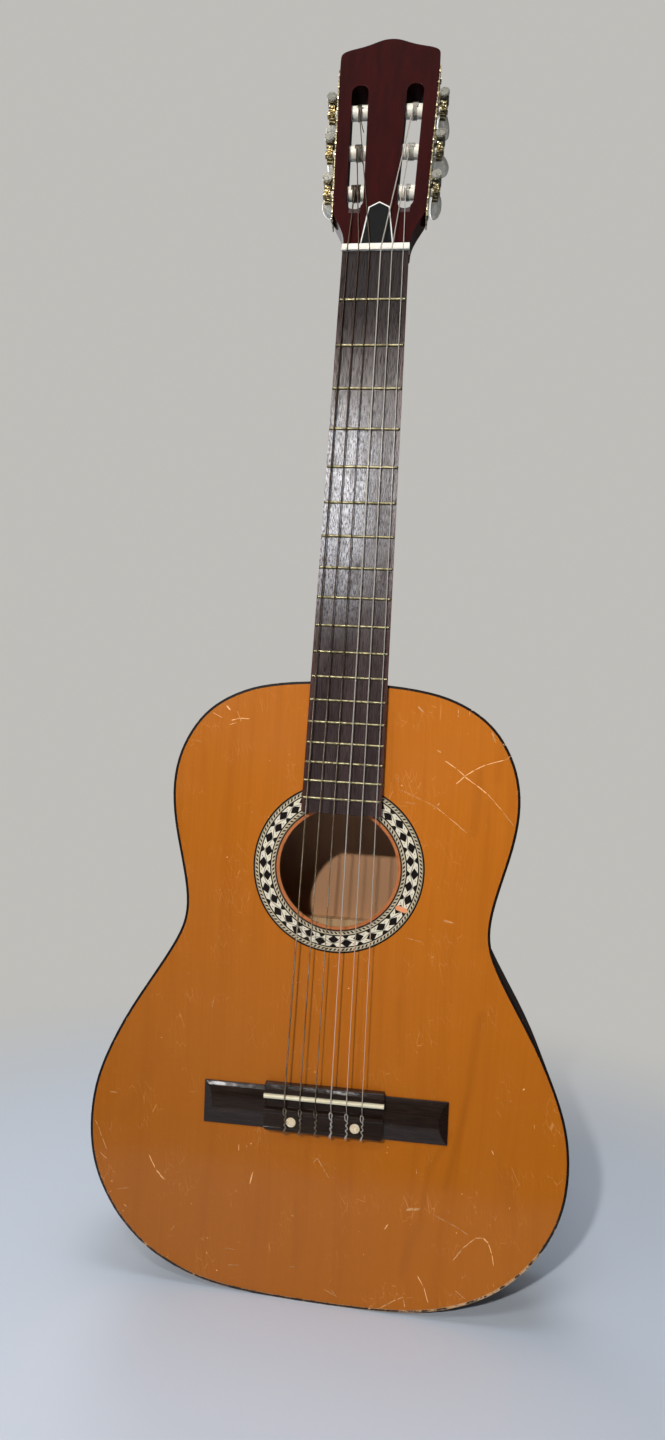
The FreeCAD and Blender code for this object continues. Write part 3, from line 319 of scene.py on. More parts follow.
# ------------------------------------------------------------------ wear marks on the soundboard, in millimetres (x, z)
SCRATCHES = [
    ((77.5, 443.5), (87, 437.5), 0.75, 1), ((87, 437.5), (93.5, 432), 0.75, 1), ((93.5, 432), (102.5, 426), 0.75, 1),
    ((102.5, 426), (111, 420), 0.75, 1), ((111, 420), (117, 414), 0.6, 0.75), ((117, 414), (123.5, 407.5), 0.6, 0.75),
    ((123.5, 407.5), (133, 396), 0.5, 0.4), ((87, 425.5), (93.5, 432.5), 0.75, 1), ((93.5, 432.5), (100.5, 437.5), 0.75, 1),
    ((100.5, 437.5), (108.5, 442), 0.75, 1), ((108.5, 442), (122.5, 446.5), 0.75, 1), ((122.5, 446.5), (128, 450.5), 0.5, 0.5),
    ((43, 419), (54, 415), 0.5, 0.45), ((54, 415), (64, 411), 0.5, 0.45), ((64, 411), (72.5, 407), 0.5, 0.45), ((72.5, 407), (82.5, 400), 0.55, 0.6),
    ((82.5, 400), (98.5, 388), 0.55, 0.6), ((71.5, 405.5), (76, 410.5), 0.6, 0.7), ((54, 484), (58.5, 479.5), 1.1, 0.5),
    ((85, 484.5), (85.5, 477), 0.4, 0.8), ((94, 483), (94, 478.5), 0.5, 0.7), ((71, 451), (74.5, 449.5), 0.8, 0.6),
    ((50, 421), (55, 428.5), 0.5, 0.35), ((42, 428), (43.5, 423.5), 0.5, 0.35), ((47, 409.5), (59, 408), 0.5, 0.3),
    ((84.5, 319), (93, 317.5), 1.6, 0.3), ((56, 303), (70.5, 300.5), 0.5, 0.4), ((70.5, 300.5), (70, 298.5), 0.5, 0.4),
    ((111.5, 468), (115, 459), 1.2, 0.3), ((-97, 476.5), (-93.5, 473), 1, 1), ((-108, 470.5), (-99.5, 466.5), 0.6, 0.8),
    ((-93, 465), (-85.5, 467), 0.7, 0.95), ((-85.5, 467), (-77, 467), 0.7, 0.95), ((-94.5, 461), (-87.5, 463.5), 0.6, 0.8),
    ((-88.5, 473), (-84, 464), 0.5, 0.7), ((-124, 448), (-114.5, 446.5), 0.5, 0.4), ((-72.5, 390.5), (-70.5, 394), 0.5, 0.35),
    ((-188.5, 127.5), (-185.5, 123), 0.5, 0.5), ((-185.5, 123), (-181.5, 113.5), 0.5, 0.5), ((-181.5, 113.5), (-177, 103.5), 0.5, 0.5),
    ((-183, 101), (-176, 95.5), 0.5, 0.5), ((-141.5, 104.5), (-135, 93), 0.8, 0.9), ((-135, 93), (-127, 84.5), 0.8, 0.9),
    ((-134.5, 91.5), (-125.5, 84.5), 0.6, 0.6), ((-93.5, 241.5), (-95, 230.5), 0.6, 0.4), ((-66.5, 122.5), (-66, 116.5), 0.7, 0.8),
    ((-60.5, 122), (-59, 120), 0.6, 0.6), ((-53.5, 101), (-55.5, 90.5), 1, 0.9), ((-5.5, 114.5), (-2, 119), 0.6, 0.5),
    ((-2, 119), (2.5, 111.5), 0.6, 0.5), ((2.5, 111.5), (9, 102.5), 0.6, 0.5), ((-177.5, 152.5), (-170, 152.5), 0.6, 0.45),
    ((-167, 71.5), (-156, 74), 0.5, 0.4), ((-160, 59.5), (-157, 57), 0.6, 0.7), ((-88.5, 28.5), (-87.5, 28.5), 1.4, 0.8),
    ((-75.5, 34.5), (-64, 34.5), 0.6, 0.35), ((-70.5, 21), (-60, 22), 0.6, 0.4), ((-119.5, 42.5), (-116, 47.5), 0.5, 0.4),
    ((-19.5, 27), (-14, 27.5), 0.7, 0.35), ((9, 13), (19, 8.5), 0.5, 0.45), ((109, 50), (115.5, 61), 0.8, 0.6), ((115.5, 61), (125, 71), 0.8, 0.6),
    ((125, 71), (131, 72), 0.8, 0.6), ((131, 72), (135.5, 68.5), 0.8, 0.95), ((135.5, 68.5), (139, 60), 0.8, 0.95),
    ((139, 60), (140.5, 51), 0.8, 0.95), ((91, 86), (103, 81), 0.6, 0.4), ((103, 81), (113, 76.5), 0.6, 0.4), ((113, 76.5), (120, 72.5), 0.6, 0.4),
    ((69.5, 86.5), (81.5, 88.5), 2.2, 0.35), ((54.5, 68.5), (57.5, 73), 1, 1), ((82.5, 35), (88, 26.5), 0.7, 0.95),
    ((88, 26.5), (92.5, 13.5), 0.7, 0.95), ((153.5, 193.5), (154.5, 193), 1.6, 0.9), ((144.5, 183), (145.5, 183), 1.2, 0.4),
    ((163.5, 167), (164.5, 163), 0.6, 0.7), ((133, 142.5), (135, 139), 0.8, 0.8), ((177.5, 181), (178.5, 178.5), 0.5, 0.5),
    ((76.5, 120.5), (77, 116), 0.5, 0.5), ((112, 27.5), (121.5, 21), 0.6, 0.55), ((55, 4), (67.5, 13), 0.7, 0.6), ((67.5, 13), (73, 15.5), 0.7, 0.6),
    ((73, 15.5), (74.5, 7.5), 0.7, 0.6), ((15, 13.5), (20.5, 7.5), 0.5, 0.5), ((141, 37.5), (142, 34), 0.5, 0.5),
]
STREAKS = [
    ((100, 108), (106.5, 152.5), 5, 0.8), ((106.5, 152.5), (112, 190), 5, 0.8), ((112, 190), (116, 247), 5, 0.8), ((83, 83.5), (87, 123), 4, 0.6),
    ((87, 123), (100, 151.5), 4, 0.6), ((26.5, 97.5), (25, 135), 4.5, 0.45), ((69.5, 35.5), (83, 80), 6, 0.5), ((147, 126), (152, 98), 7, 0.45),
    ((58.5, 203.5), (54.5, 253.5), 5, 0.35), ((101, 389), (102, 436), 5, 0.5), ((116, 431.5), (118, 456.5), 6, 0.45),
    ((112.5, 301), (110.5, 412), 6, 0.4), ((36, 476), (36.5, 425.5), 3, 0.35), ((-164, 134), (-152.5, 151.5), 8, 0.4),
    ((-152.5, 151.5), (-142, 179), 8, 0.4), ((-136, 181.5), (-139, 205.5), 6, 0.3), ((-18, 81), (-16, 29.5), 4, 0.45),
]

# ------------------------------------------------------------------ materials
def finish_wood_bump(m, fine=0.35, dist=0.0001):
    """Slow waviness of a brushed lacquer."""
    x, y, z = m.xyz()
    n = m.noise(m.mm(), 0.035, 2, 0.5)
    g = m.noise(m.vec(x * 0.9, y * 0.9, z * 0.03), 1.0, 3, 0.6)
    return m.bump(n.mad(1.0, g * 0.12), fine, dist)


def make_top_wood():
    m = Mat("top_wood", rough=0.4, spec=0.07, coat=1.0, coat_rough=0.07, coat_ior=1.45)
    x, y, z = m.xyz()
    front = y.step(-39.9, -40.5)  # 1 on the lacquered face
    slow = m.noise(m.vec(x * 0.012, 0.0, z * 0.006), 1.0, 2, 0.5)
    wob = (m.noise(m.vec(x * 0.012, 0.0, z * 0.004), 1.0, 1, 0.5) - 0.5) * 22.0
    xg = x + wob
    fine = m.noise(m.vec(xg * 0.62, 0.0, z * 0.011), 1.0, 3, 0.65)
    mid = m.noise(m.vec(xg * 0.085, 3.0, z * 0.0045), 1.0, 3, 0.55)
    low = srgb(166, 93, 8)
    high = srgb(189, 108, 28)
    base = m.mix(z.step(60.0, 470.0) * 0.85 + slow * 0.25, low, high)
    base = m.mix(mid.step(0.45, 0.8) * 0.30, base, srgb(146, 74, 4))
    base = m.mix(fine.step(0.30, 0.72) * 0.20, base, srgb(156, 82, 8))
    # painted shade and light: the top is darkened towards the lower left and lightened towards the upper right, as the
    # light falls on it
    base = m.scale_color(base, (x + z * 0.12).step(-190.0, 150.0).mad(0.20, 0.83))
    # ray flecks across the grain
    fleck = m.noise(m.vec(x * 0.12, 0.0, z * 1.1), 1.0, 2, 0.6)
    base = m.mix(fleck.step(0.56, 0.74) * 0.07, base, srgb(222, 146, 72))
    streak = m.strokes(m.vec(xg - wob * 0.4, 0.0, z), STREAKS)
    base = m.mix(streak * 0.34, base, srgb(132, 68, 4))
    # ring of plain veneer round the soundhole
    r, a = m.polar(HOLE[0] * 1000, HOLE[1] * 1000)
    ringish = 1.0 - r.step(49.5, 49.8)
    base = m.mix(ringish, base, m.mix(m.noise(m.vec(a * 9.0, r * 0.3, 0.0), 1.0, 2, 0.5), srgb(196, 122, 74), srgb(150, 82, 46)))
    base = m.mix(ringish * r.step(49.0, 49.25), base, srgb(26, 12, 8))
    # dents and scratches through the lacquer
    rubs = m.noise(m.vec(x * 0.03, 0.0, z * 0.03), 1.0, 2, 0.6)
    vd = m.voronoi(m.vec(x, 0.0, z), 0.062, randomness=1.0)
    grit = m.noise(m.vec(x, 0.0, z), 0.9, 1, 0.5)
    dots = (1.0 - vd.step(0.025, 0.065)) * grit.step(0.50, 0.58) * rubs.step(0.40, 0.50)
    vs = m.voronoi(m.vec(x * 0.5 + z * 0.13, 0.0, z * 0.09 - x * 0.05), 0.55, feature="DISTANCE_TO_EDGE")
    hair = (1.0 - vs.step(0.0, 0.016)) * rubs.step(0.50, 0.66) * 0.34
    marks = dots.max(hair) * front
    base = m.mix(marks * 0.9, base, srgb(250, 190, 124))
    inner = srgb(196, 160, 112)
    raw = m.mix(m.noise(m.vec(x * 0.5, 0.0, z * 0.01), 1.0, 3, 0.6) * 0.6, inner, srgb(150, 112, 74))
    col = m.mix(front, raw, base)
    m.set("color", col)
    m.set("rough", m.lerp(front, 0.75, m.noise(m.mm(), 0.02, 2, 0.5).mad(0.1, 0.28)))
    gloss = z.step(120.0, 520.0).mad(0.30, 0.52)
    m.set("coat", front * gloss * (1.0 - marks * 0.8))
    smudge = m.noise(m.mm(), 0.013, 3, 0.6)
    m.set("coat_rough", smudge.step(0.35, 0.75).mad(0.16, 0.07) + marks * 0.3)
    h = m.noise(m.vec(x, 0.0, z), 0.02, 2, 0.5) * 1.0 + fine * 0.05 - marks * 0.35
    m.set("coat_normal", m.bump(h, 0.30, 0.0004))
    m.set("normal", m.bump(fine * 0.3 - marks * 0.5, 0.30, 0.0003))
    return m.mat


def make_rosette():
    m = Mat("rosette", rough=0.4, spec=0.12, coat=1.0, coat_rough=0.1, coat_ior=1.45)
    x, y, z = m.xyz()
    r, a = m.polar(HOLE[0] * 1000, HOLE[1] * 1000)
    cream, olive = srgb(190, 178, 154), srgb(34, 28, 22)
    black, white = srgb(20, 12, 10), srgb(222, 214, 194)
    grain = m.noise(m.mm(), 0.7, 2, 0.6)
    tint = m.mix(grain * 0.5, cream, srgb(180, 170, 138))

    def rope(mid, half, count, lean):
        f = (a * (count / (2 * math.pi)) + (r - mid) * lean).fract()
        dash = 1.0 - (f - 0.47).abs().step(0.20, 0.30)
        return dash * (1.0 - (r - mid).abs().step(half - 0.25, half + 0.1))

    col = m.mix(rope(65.0, 0.95, 128, 0.26), tint, olive)
    col = m.mix(rope(51.75, 0.95, 100, -0.26), col, olive)
    # main band: diamonds that sit outer and inner by turns, on either side of a zigzag line
    cell = 2 * math.pi * 58.4 / 18
    ta = ((a * (18 / (2 * math.pi)) + 0.5).fract() - 0.5).abs() * cell
    tb = cell / 2 - ta
    s = r - 58.42
    zig = ta.mad(3.6 / (cell / 2), -1.8)

    def diamond(t, c):
        return 1.0 - (t * (1 / 4.7) + (s - c).abs() * (1 / 3.5)).step(0.94, 1.02)

    tri_a = (1.0 - (ta * (1 / 2.7) + (s + 4.2) * (1 / 3.1)).step(0.9, 1.05))
    tri_b = (1.0 - (tb * (1 / 2.7) + (4.2 - s) * (1 / 3.1)).step(0.9, 1.05))
    dark = diamond(ta, 1.35).max(diamond(tb, -1.4)).max(tri_a).max(tri_b)
    off = (s - zig).abs()
    dark = dark * off.step(0.32, 0.5)
    leaf = ((s.abs() - 2.7).abs() + (ta - tb).abs() * 0.16)
    dark = dark.max((1.0 - off.step(0.14, 0.3)) * 0.9).max((1.0 - leaf.step(0.20, 0.42)) * 0.8)
    band = m.mix(dark, m.mix(grain * 0.35, white, srgb(206, 198, 176)), black)
    inside = r.step(54.1, 54.25) * (1.0 - r.step(62.6, 62.75))
    col = m.mix(inside, col, band)

    def line(c, w, colour, k=1.0):
        return m.mix((1.0 - (r - c).abs().step(w * 0.5 - 0.08, w * 0.5 + 0.08)) * k, col, colour)

    col = line(63.0, 0.95, srgb(24, 18, 15))
    col = line(53.8, 0.95, srgb(24, 18, 15))
    col = line(66.2, 0.3, srgb(60, 52, 40), 0.8)
    col = line(50.5, 0.3, srgb(60, 52, 40), 0.8)
    col = line(67.4, 1.8, black)
    col = line(49.7, 1.1, black)
    # a chip where the pattern is lost
    chip = m.strokes(m.vec(x + (m.noise(m.mm(), 0.6, 2, 0.6) - 0.5) * 2.0, 0.0, z), [((48.6, 325.9), (54.2, 324.0), 3.0, 1.0)], 0.3)
    chip = chip.step(0.25, 0.45)
    col = m.mix(chip, col, srgb(226, 150, 104))
    m.set("color", col)
    m.set("coat", (1.0 - chip).sat())
    m.set("coat_normal", m.bump(m.noise(m.mm(), 0.06, 2, 0.5) - chip * 0.4, 0.25, 0.0003))
    return m.mat


def make_lacquered_wood(name, dark, light, raw=None, outer=None, coat=0.9, coat_rough=0.1, pore=0.5, seed=0.0, rough=0.4):
    """Stained and lacquered wood with its grain along z. outer is a function that gives the lacquered mask."""
    m = Mat(name, rough=rough, coat_ior=1.42, spec=0.04)
    x, y, z = m.xyz()
    wob = (m.noise(m.vec(x * 0.03, y * 0.03, z * 0.008), 1.0, 2, 0.5) - 0.5) * 9.0
    fine = m.noise(m.vec(x * 1.1 + wob + seed, y * 1.1, z * 0.03), 1.0, 4, 0.65)
    bands = m.noise(m.vec(x * 0.16 + wob * 0.12, y * 0.16 + seed, z * 0.006), 1.0, 3, 0.6)
    col = m.mix(bands.step(0.3, 0.72), dark, light)
    col = m.mix(fine.step(0.35, 0.75) * pore, col, tuple(c * 0.55 for c in dark))
    ff = m.noise(m.vec(x * 2.3 + wob, y * 2.3 + seed, z * 0.09), 1.0, 2, 0.5)
    pores = ff.step(0.60, 0.70)
    col = m.mix(pores * pore * 0.7, col, tuple(c * 0.35 for c in dark))
    height = fine * 0.25 - pores * 0.6 + m.noise(m.mm(), 0.04, 2, 0.5)
    if outer is not None:
        mask = outer(m)
        rc = m.mix(fine * 0.7, raw, tuple(c * 0.62 for c in raw))
        rc = m.mix(bands.step(0.35, 0.7) * 0.35, rc, tuple(c * 0.8 for c in raw))
        col = m.mix(mask, rc, col)
        m.set("coat", mask * coat)
        m.set("rough", m.lerp(mask, 0.8, rough))
    else:
        facing = m.xyz(m.world_normal())[1].abs().step(0.35, 0.6)
        # inside the tuner slots the walls are mostly left without lacquer, and their colour is darkened as painted
        # shade
        slot = z.step(852.0, 856.0) * (1.0 - x.abs().step(28.5, 29.5))
        dry = slot * (1.0 - facing)
        m.set("coat", (1.0 - dry * 0.9) * coat)
        col = m.mix(dry * 0.75, col, tuple(c * 0.25 for c in dark))
    m.set("color", col)
    m.set("coat_rough", m.noise(m.mm(), 0.015, 3, 0.6).step(0.35, 0.75).mad(coat_rough, coat_rough))
    m.set("coat_normal", m.bump(height * 0.35, 0.3, 0.0003, prev=m.soft_edge(0.0006)))
    m.set("normal", m.bump(height, 0.3, 0.0003))
    return m


def outward(m):
    """1 on surfaces of the ribs that face out of the body."""
    n = m.world_normal()
    x, _, z = m.xyz()
    d = m.vmath("DOT_PRODUCT", n, m.vec(x, 0.0, z - 253.0))
    return d.step(-2.0, 2.0)


def make_raw_wood(name, pale, dark, seed=0.0):
    m = Mat(name, rough=0.78)
    x, y, z = m.xyz()
    wob = (m.noise(m.vec(x * 0.02, y * 0.02, z * 0.006), 1.0, 2, 0.5) - 0.5) * 12.0
    fine = m.noise(m.vec(x * 0.8 + wob + seed, y * 0.8, z * 0.02), 1.0, 4, 0.65)
    wide = m.noise(m.vec(x * 0.09 + wob * 0.1, y * 0.09 + seed, z * 0.004), 1.0, 3, 0.6)
    col = m.mix(wide.step(0.3, 0.7), pale, tuple((p + d) / 2 for p, d in zip(pale, dark)))
    col = m.mix(fine.step(0.35, 0.75) * 0.6, col, dark)
    m.set("color", col)
    m.set("normal", m.bump(fine, 0.4, 0.0003))
    return m


def make_fingerboard():
    m = Mat("fingerboard_wood", rough=0.42, spec=0.35)
    x, y, z = m.xyz()
    wob = (m.noise(m.vec(x * 0.05, 0.0, z * 0.01), 1.0, 2, 0.5) - 0.5) * 7.0
    fine = m.noise(m.vec(x * 1.5 + wob, y * 1.5, z * 0.05), 1.0, 4, 0.7)
    wide = m.noise(m.vec(x * 0.14 + wob * 0.1, y * 0.2, z * 0.007), 1.0, 3, 0.6)
    pore = m.noise(m.vec(x * 3.2 + wob, y * 3.2, z * 0.16), 1.0, 2, 0.5).step(0.58, 0.66)
    col = m.mix(wide.step(0.3, 0.7), srgb(52, 42, 43), srgb(68, 55, 55))
    col = m.mix(fine.step(0.4, 0.72) * 0.7, col, srgb(40, 27, 27))
    # faded, dry patches and the redder edges
    dry = m.noise(m.vec(x * 0.05, 2.0, z * 0.016), 1.0, 3, 0.6)
    col = m.mix(dry.step(0.45, 0.75) * 0.30, col, srgb(90, 79, 80))
    half = (z - 396.5).mad(-12.2 / 431.7 / 2, 31.4)
    edge = (half - x.abs()).step(3.2, 0.4)
    col = m.mix(edge * 0.45, col, srgb(92, 46, 36))
    col = m.mix(pore * 0.75, col, srgb(22, 14, 14))
    # where the fingers polish the board, and painted shade towards the nut
    worn = (1.0 - z.step(722.0, 780.0)) * z.step(470.0, 620.0)  # polished by the fingers between the second and the ninth fret
    # painted shade: the board darkened towards the nut, where it catches less reflection
    col = m.mix(z.step(735.0, 792.0) * 0.7, col, srgb(24, 18, 19))
    # painted sheen: a pale streaky reflection painted into the colour around the fifth fret, strongest on the bass side
    painted_sheen_streaks = m.noise(m.vec(x * 1.3 + wob, 5.0, z * 0.24), 1.0, 4, 0.78)
    blot = m.noise(m.vec(x * 0.10, 8.0, z * 0.035), 1.0, 2, 0.6)
    painted_sheen_band = z.step(520.0, 628.0) * (1.0 - z.step(668.0, 735.0))
    sheen = painted_sheen_band * painted_sheen_streaks.step(0.40, 0.58) * blot.step(0.20, 0.55) * (1.0 - x.step(-11.0, 19.0) * 0.75)
    # painted sheen: darker gaps between the streaks of the painted reflection, then the pale streaks themselves
    col = m.mix(painted_sheen_band * (1.0 - painted_sheen_streaks.step(0.36, 0.46)) * 0.6, col, srgb(30, 24, 26))
    col = m.mix(sheen * 0.94, col, srgb(216, 218, 228))
    m.set("color", col)
    m.set("spec", worn.mad(0.22, 0.10))
    m.set("rough", fine.mad(0.22, 0.26) + pore * 0.25)
    m.set("normal", m.bump(fine * 0.6 - pore * 1.0, 0.55, 0.0005))
    streaky = m.noise(m.vec(x * 2.4 + wob, 5.0, z * 0.14), 1.0, 3, 0.7)
    patch = m.noise(m.vec(x * 0.12, 8.0, z * 0.03), 1.0, 2, 0.6)
    m.set("coat", worn * streaky.step(0.40, 0.62) * patch.step(0.25, 0.6) * (1.0 - x.step(-14.0, 24.0) * 0.6) * (1.0 - pore) * 1.0 + 0.03)
    m.set("coat_rough", 0.22)
    m.set("coat_ior", 1.6)
    m.set("coat_normal", m.bump(streaky * 0.8 - pore * 1.0, 0.7, 0.0006))
    return m.mat


def make_metal(name, bright, dull, rough=0.28, tarnish=0.5, scale=0.35, seed=0.0, spots=True):
    m = Mat(name, metal=1.0)
    v = m.vmath("ADD", m.mm(), (seed, 0.0, 0.0))
    n = m.noise(v, scale, 4, 0.65)
    f = m.noise(v, scale * 5.0, 2, 0.6)
    t = n.step(0.38, 0.66) * tarnish
    col = m.mix(t, bright, dull)
    if spots:
        sp = m.voronoi(v, 0.9)
        s = (1.0 - sp.step(0.05, 0.16)) * f.step(0.5, 0.6)
        col = m.mix(s * 0.6, col, tuple(c * 0.4 for c in dull))
    m.set("color", col)
    m.set("rough", t * 0.3 + f * 0.12 + (rough - 0.05))
    m.set("normal", m.bump(f, 0.15, 0.0001))
    return m


def make_plastic(name, base, stain, rough=0.3, scale=0.12, sss=0.0, coat=0.0, amount=0.5, seed=0.0):
    m = Mat(name, rough=rough, coat=coat, coat_rough=0.12)
    v = m.vmath("ADD", m.mm(), (seed, 0.0, 0.0))
    n = m.noise(v, scale, 4, 0.6)
    f = m.noise(v, scale * 9, 3, 0.6)
    col = m.mix(n.step(0.35, 0.75) * amount, base, stain)
    col = m.mix(f.step(0.58, 0.75) * 0.25 * amount, col, tuple(c * 0.6 for c in stain))
    m.set("color", col)
    m.set("rough", f.mad(0.18, rough - 0.06))
    m.set("normal", m.bump(f, 0.12, 0.0001))
    if sss:
        m.set("sss", sss)
        m.set("sss_radius", (0.9, 0.6, 0.4))
        m.set("sss_scale", 0.002)
    return m


def make_pearloid(name):
    m = Mat(name, rough=0.16, coat=0.7, coat_rough=0.06)
    v = m.mm()
    warp = m.noise(v, 0.35, 2, 0.6, color=True)
    w = m.vmath("MULTIPLY_ADD", warp, (7.0, 7.0, 7.0), v)
    cell = m.voronoi(w, 0.26)
    wave = m.noise(w, 0.42, 3, 0.6)
    col = m.mix(cell.step(0.1, 0.8), srgb(250, 242, 224), srgb(218, 208, 186))
    col = m.mix(wave.step(0.52, 0.62) * 0.7, col, srgb(246, 244, 236))
    col = m.mix(wave.step(0.62, 0.75) * 0.5, col, srgb(188, 186, 174))
    m.set("color", col)
    m.set("sss", 0.5)
    m.set("sss_radius", (1.0, 0.9, 0.75))
    m.set("sss_scale", 0.004)
    m.set("trans", 0.08)
    m.set("rough", wave.mad(0.15, 0.12))
    return m.mat


def make_pearl(name):
    m = Mat(name, rough=0.2, coat=1.0, coat_rough=0.05)
    v = m.mm()
    warp = m.noise(v, 0.3, 2, 0.6, color=True)
    w = m.vmath("MULTIPLY_ADD", warp, (5.0, 5.0, 5.0), v)
    n = m.noise(w, 0.5, 3, 0.55)
    col = m.mix(n.step(0.3, 0.7), srgb(226, 206, 170), srgb(176, 150, 112))
    col = m.mix(n.step(0.5, 0.56) * (1.0 - n.step(0.58, 0.64)), col, srgb(240, 228, 210))
    m.set("color", col)
    m.set("rough", n.mad(0.2, 0.12))
    return m.mat


def make_bridge():
    m = Mat("bridge_wood", rough=0.4, spec=0.04, coat=0.85, coat_rough=0.06, coat_ior=1.38)
    x, y, z = m.xyz()
    g = m.noise(m.vec(x * 0.05, y * 0.8, z * 0.8), 1.0, 4, 0.65)
    col = m.mix(g.step(0.3, 0.75), srgb(24, 15, 11), srgb(42, 29, 22))
    dust = m.noise(m.mm(), 0.8, 3, 0.7)
    ps = m.voronoi(m.mm(), 0.35)
    specks = (1.0 - ps.step(0.03, 0.09)) * dust.step(0.5, 0.6)
    low = y.step(-41.6, -40.9)  # dust gathers where the bridge meets the top
    col = m.mix(low * dust.step(0.45, 0.65) * 0.5, col, srgb(150, 128, 110))
    col = m.mix(specks * 0.5, col, srgb(170, 160, 150))
    m.set("color", col)
    m.set("coat_rough", dust.mad(0.08, 0.02))
    m.set("coat_normal", m.bump(m.noise(m.mm(), 0.08, 2, 0.5), 0.22, 0.0004, prev=m.soft_edge(0.0012)))
    m.set("normal", m.bump(g, 0.2, 0.0002))
    return m.mat


def make_nylon(name, tint):
    m = Mat(name, rough=0.18, trans=0.45, ior=1.53)
    n = m.noise(m.mm(), 0.25, 2, 0.5)
    z = m.xyz()[2]
    base = m.mix(n * 0.5, tint, tuple(c * 0.82 for c in tint))
    # painted reflection: over the lower top the nylon is tinted the orange of the wood that shows through it
    m.set("color", m.mix(z.step(172.0, 190.0) * (1.0 - z.step(285.0, 330.0)) * 0.8, base, srgb(232, 188, 156)))
    m.set("rough", n.mad(0.15, 0.12))
    return m.mat


def make_wound(name):
    """Silvered copper winding with fine turns across the string and spots of brown tarnish; painted light makes it pale
    silver over the soundhole, painted shade dark brown over the fingerboard and the head.
    """
    m = Mat(name, metal=1.0)
    x, y, z = m.xyz()
    n = m.noise(m.mm(), 0.05, 3, 0.6)
    f = m.noise(m.mm(), 0.9, 2, 0.6)
    # painted light and shade: pale silver over the soundhole, about half as pale over the lower top, dark brown over
    # the fingerboard and the head
    bright = (z.step(236.0, 300.0) * 0.4 + 0.5) * (1.0 - z.step(440.0, 520.0)) + 0.08
    col = m.mix(n.step(0.35, 0.65), srgb(206, 196, 178), srgb(152, 134, 108))
    col = m.mix(bright, srgb(92, 74, 60), col)
    col = m.mix(f.step(0.5, 0.75) * 0.5, col, srgb(64, 50, 40))
    turns = (z * (2 * math.pi / 0.42) + x * 3.0).sin()
    m.set("color", m.mix((turns * 0.5 + 0.5) * 0.45, col, srgb(48, 36, 28)))
    m.set("rough", f.mad(0.2, 0.32))
    m.set("normal", m.bump(turns, 0.5, 0.00008))
    return m.mat


def make_binding():
    """Black plastic edging; where it is worn, the pale wood under it shows."""
    m = Mat("binding", coat=0.3, coat_rough=0.14, spec=0.2)
    f = m.noise(m.mm(), 0.9, 3, 0.7)
    g = m.noise(m.mm(), 0.16, 3, 0.6)
    x, y, z = m.xyz()
    # worn most along the bottom, above all at the lower right, and a little on the upper bouts
    low = z.step(120.0, 20.0)
    right = x.step(20.0, 120.0)
    w = low * (right * 0.30 + 0.10) + z.step(360.0, 430.0) * right * 0.06
    turn = m.vmath("DOT_PRODUCT", m.soft_edge(0.0009), m.world_normal())
    arris = (1.0 - turn).step(0.01, 0.12)  # 1 along the strip's sharp edges
    dash = m.noise(m.mm(), 0.21, 2, 0.5)
    bare = (w * 1.25 + arris * (0.10 + low * 0.26) + (f - 0.5) * 0.9 + (dash - 0.5) * 1.25 + 0.06).step(0.42, 0.50)
    col = m.mix(g * 0.5, srgb(15, 10, 9), srgb(30, 21, 18))
    col = m.mix(bare, col, m.mix(g, srgb(204, 168, 126), srgb(158, 120, 84)))
    m.set("color", col)
    m.set("rough", bare.mad(0.35, 0.34))
    m.set("coat", (1.0 - bare) * 0.3)
    m.set("normal", m.bump(f * 0.4 - bare * 0.8, 0.4, 0.0003))
    return m.mat


MATS = {}
MATS["top_wood"] = make_top_wood()
MATS["rosette"] = make_rosette()
side = make_lacquered_wood("side_wood", srgb(40, 18, 14), srgb(66, 28, 18), raw=srgb(182, 138, 104), outer=outward, coat=0.35, coat_rough=0.16, pore=0.45)
MATS["side_wood"] = side.mat
MATS["back_wood"] = make_lacquered_wood("back_wood", srgb(44, 19, 14), srgb(76, 33, 20), raw=srgb(196, 150, 114), outer=lambda m: m.xyz()[1].step(53.2, 54.0), coat=1.0, coat_rough=0.08, pore=0.5, seed=40.0).mat
MATS["neck_wood"] = make_lacquered_wood("neck_wood", srgb(42, 8, 8), srgb(54, 10, 9), coat=0.32, coat_rough=0.04, rough=0.6, pore=0.14, seed=11.0).mat
MATS["inner_wood"] = make_raw_wood("inner_wood", srgb(206, 172, 128), srgb(158, 116, 78)).mat
MATS["fingerboard_wood"] = make_fingerboard()
MATS["binding"] = make_binding()
MATS["bridge_wood"] = make_bridge()
MATS["saddle_plastic"] = make_plastic("saddle_plastic", srgb(216, 210, 184), srgb(198, 188, 152), rough=0.32, sss=0.2, amount=0.6).mat
MATS["nut_plastic"] = make_plastic("nut_plastic", srgb(220, 217, 207), srgb(196, 188, 170), rough=0.3, sss=0.15, amount=0.5, seed=9.0).mat
MATS["pearl"] = make_pearl("pearl")
MATS["steel"] = make_metal("steel", srgb(200, 200, 198), srgb(120, 116, 110), rough=0.3).mat
MATS["fret_brass"] = make_metal("fret_brass", srgb(158, 150, 118), srgb(96, 88, 64), rough=0.38, tarnish=0.8, scale=0.25).mat
MATS["badge_black"] = make_plastic("badge_black", srgb(7, 8, 9), srgb(15, 16, 17), rough=0.42, amount=0.5).set("spec", 0.10).mat
MATS["badge_white"] = make_plastic("badge_white", srgb(232, 232, 228), srgb(200, 196, 186), rough=0.35, amount=0.5).mat
MATS["plate_metal"] = make_metal("plate_metal", srgb(216, 204, 166), srgb(70, 58, 38), rough=0.24, tarnish=1.0, scale=0.45, seed=4.0).mat
MATS["cog_brass"] = make_metal("cog_brass", srgb(206, 190, 146), srgb(84, 68, 42), rough=0.26, tarnish=0.85, scale=0.6, seed=7.0).mat
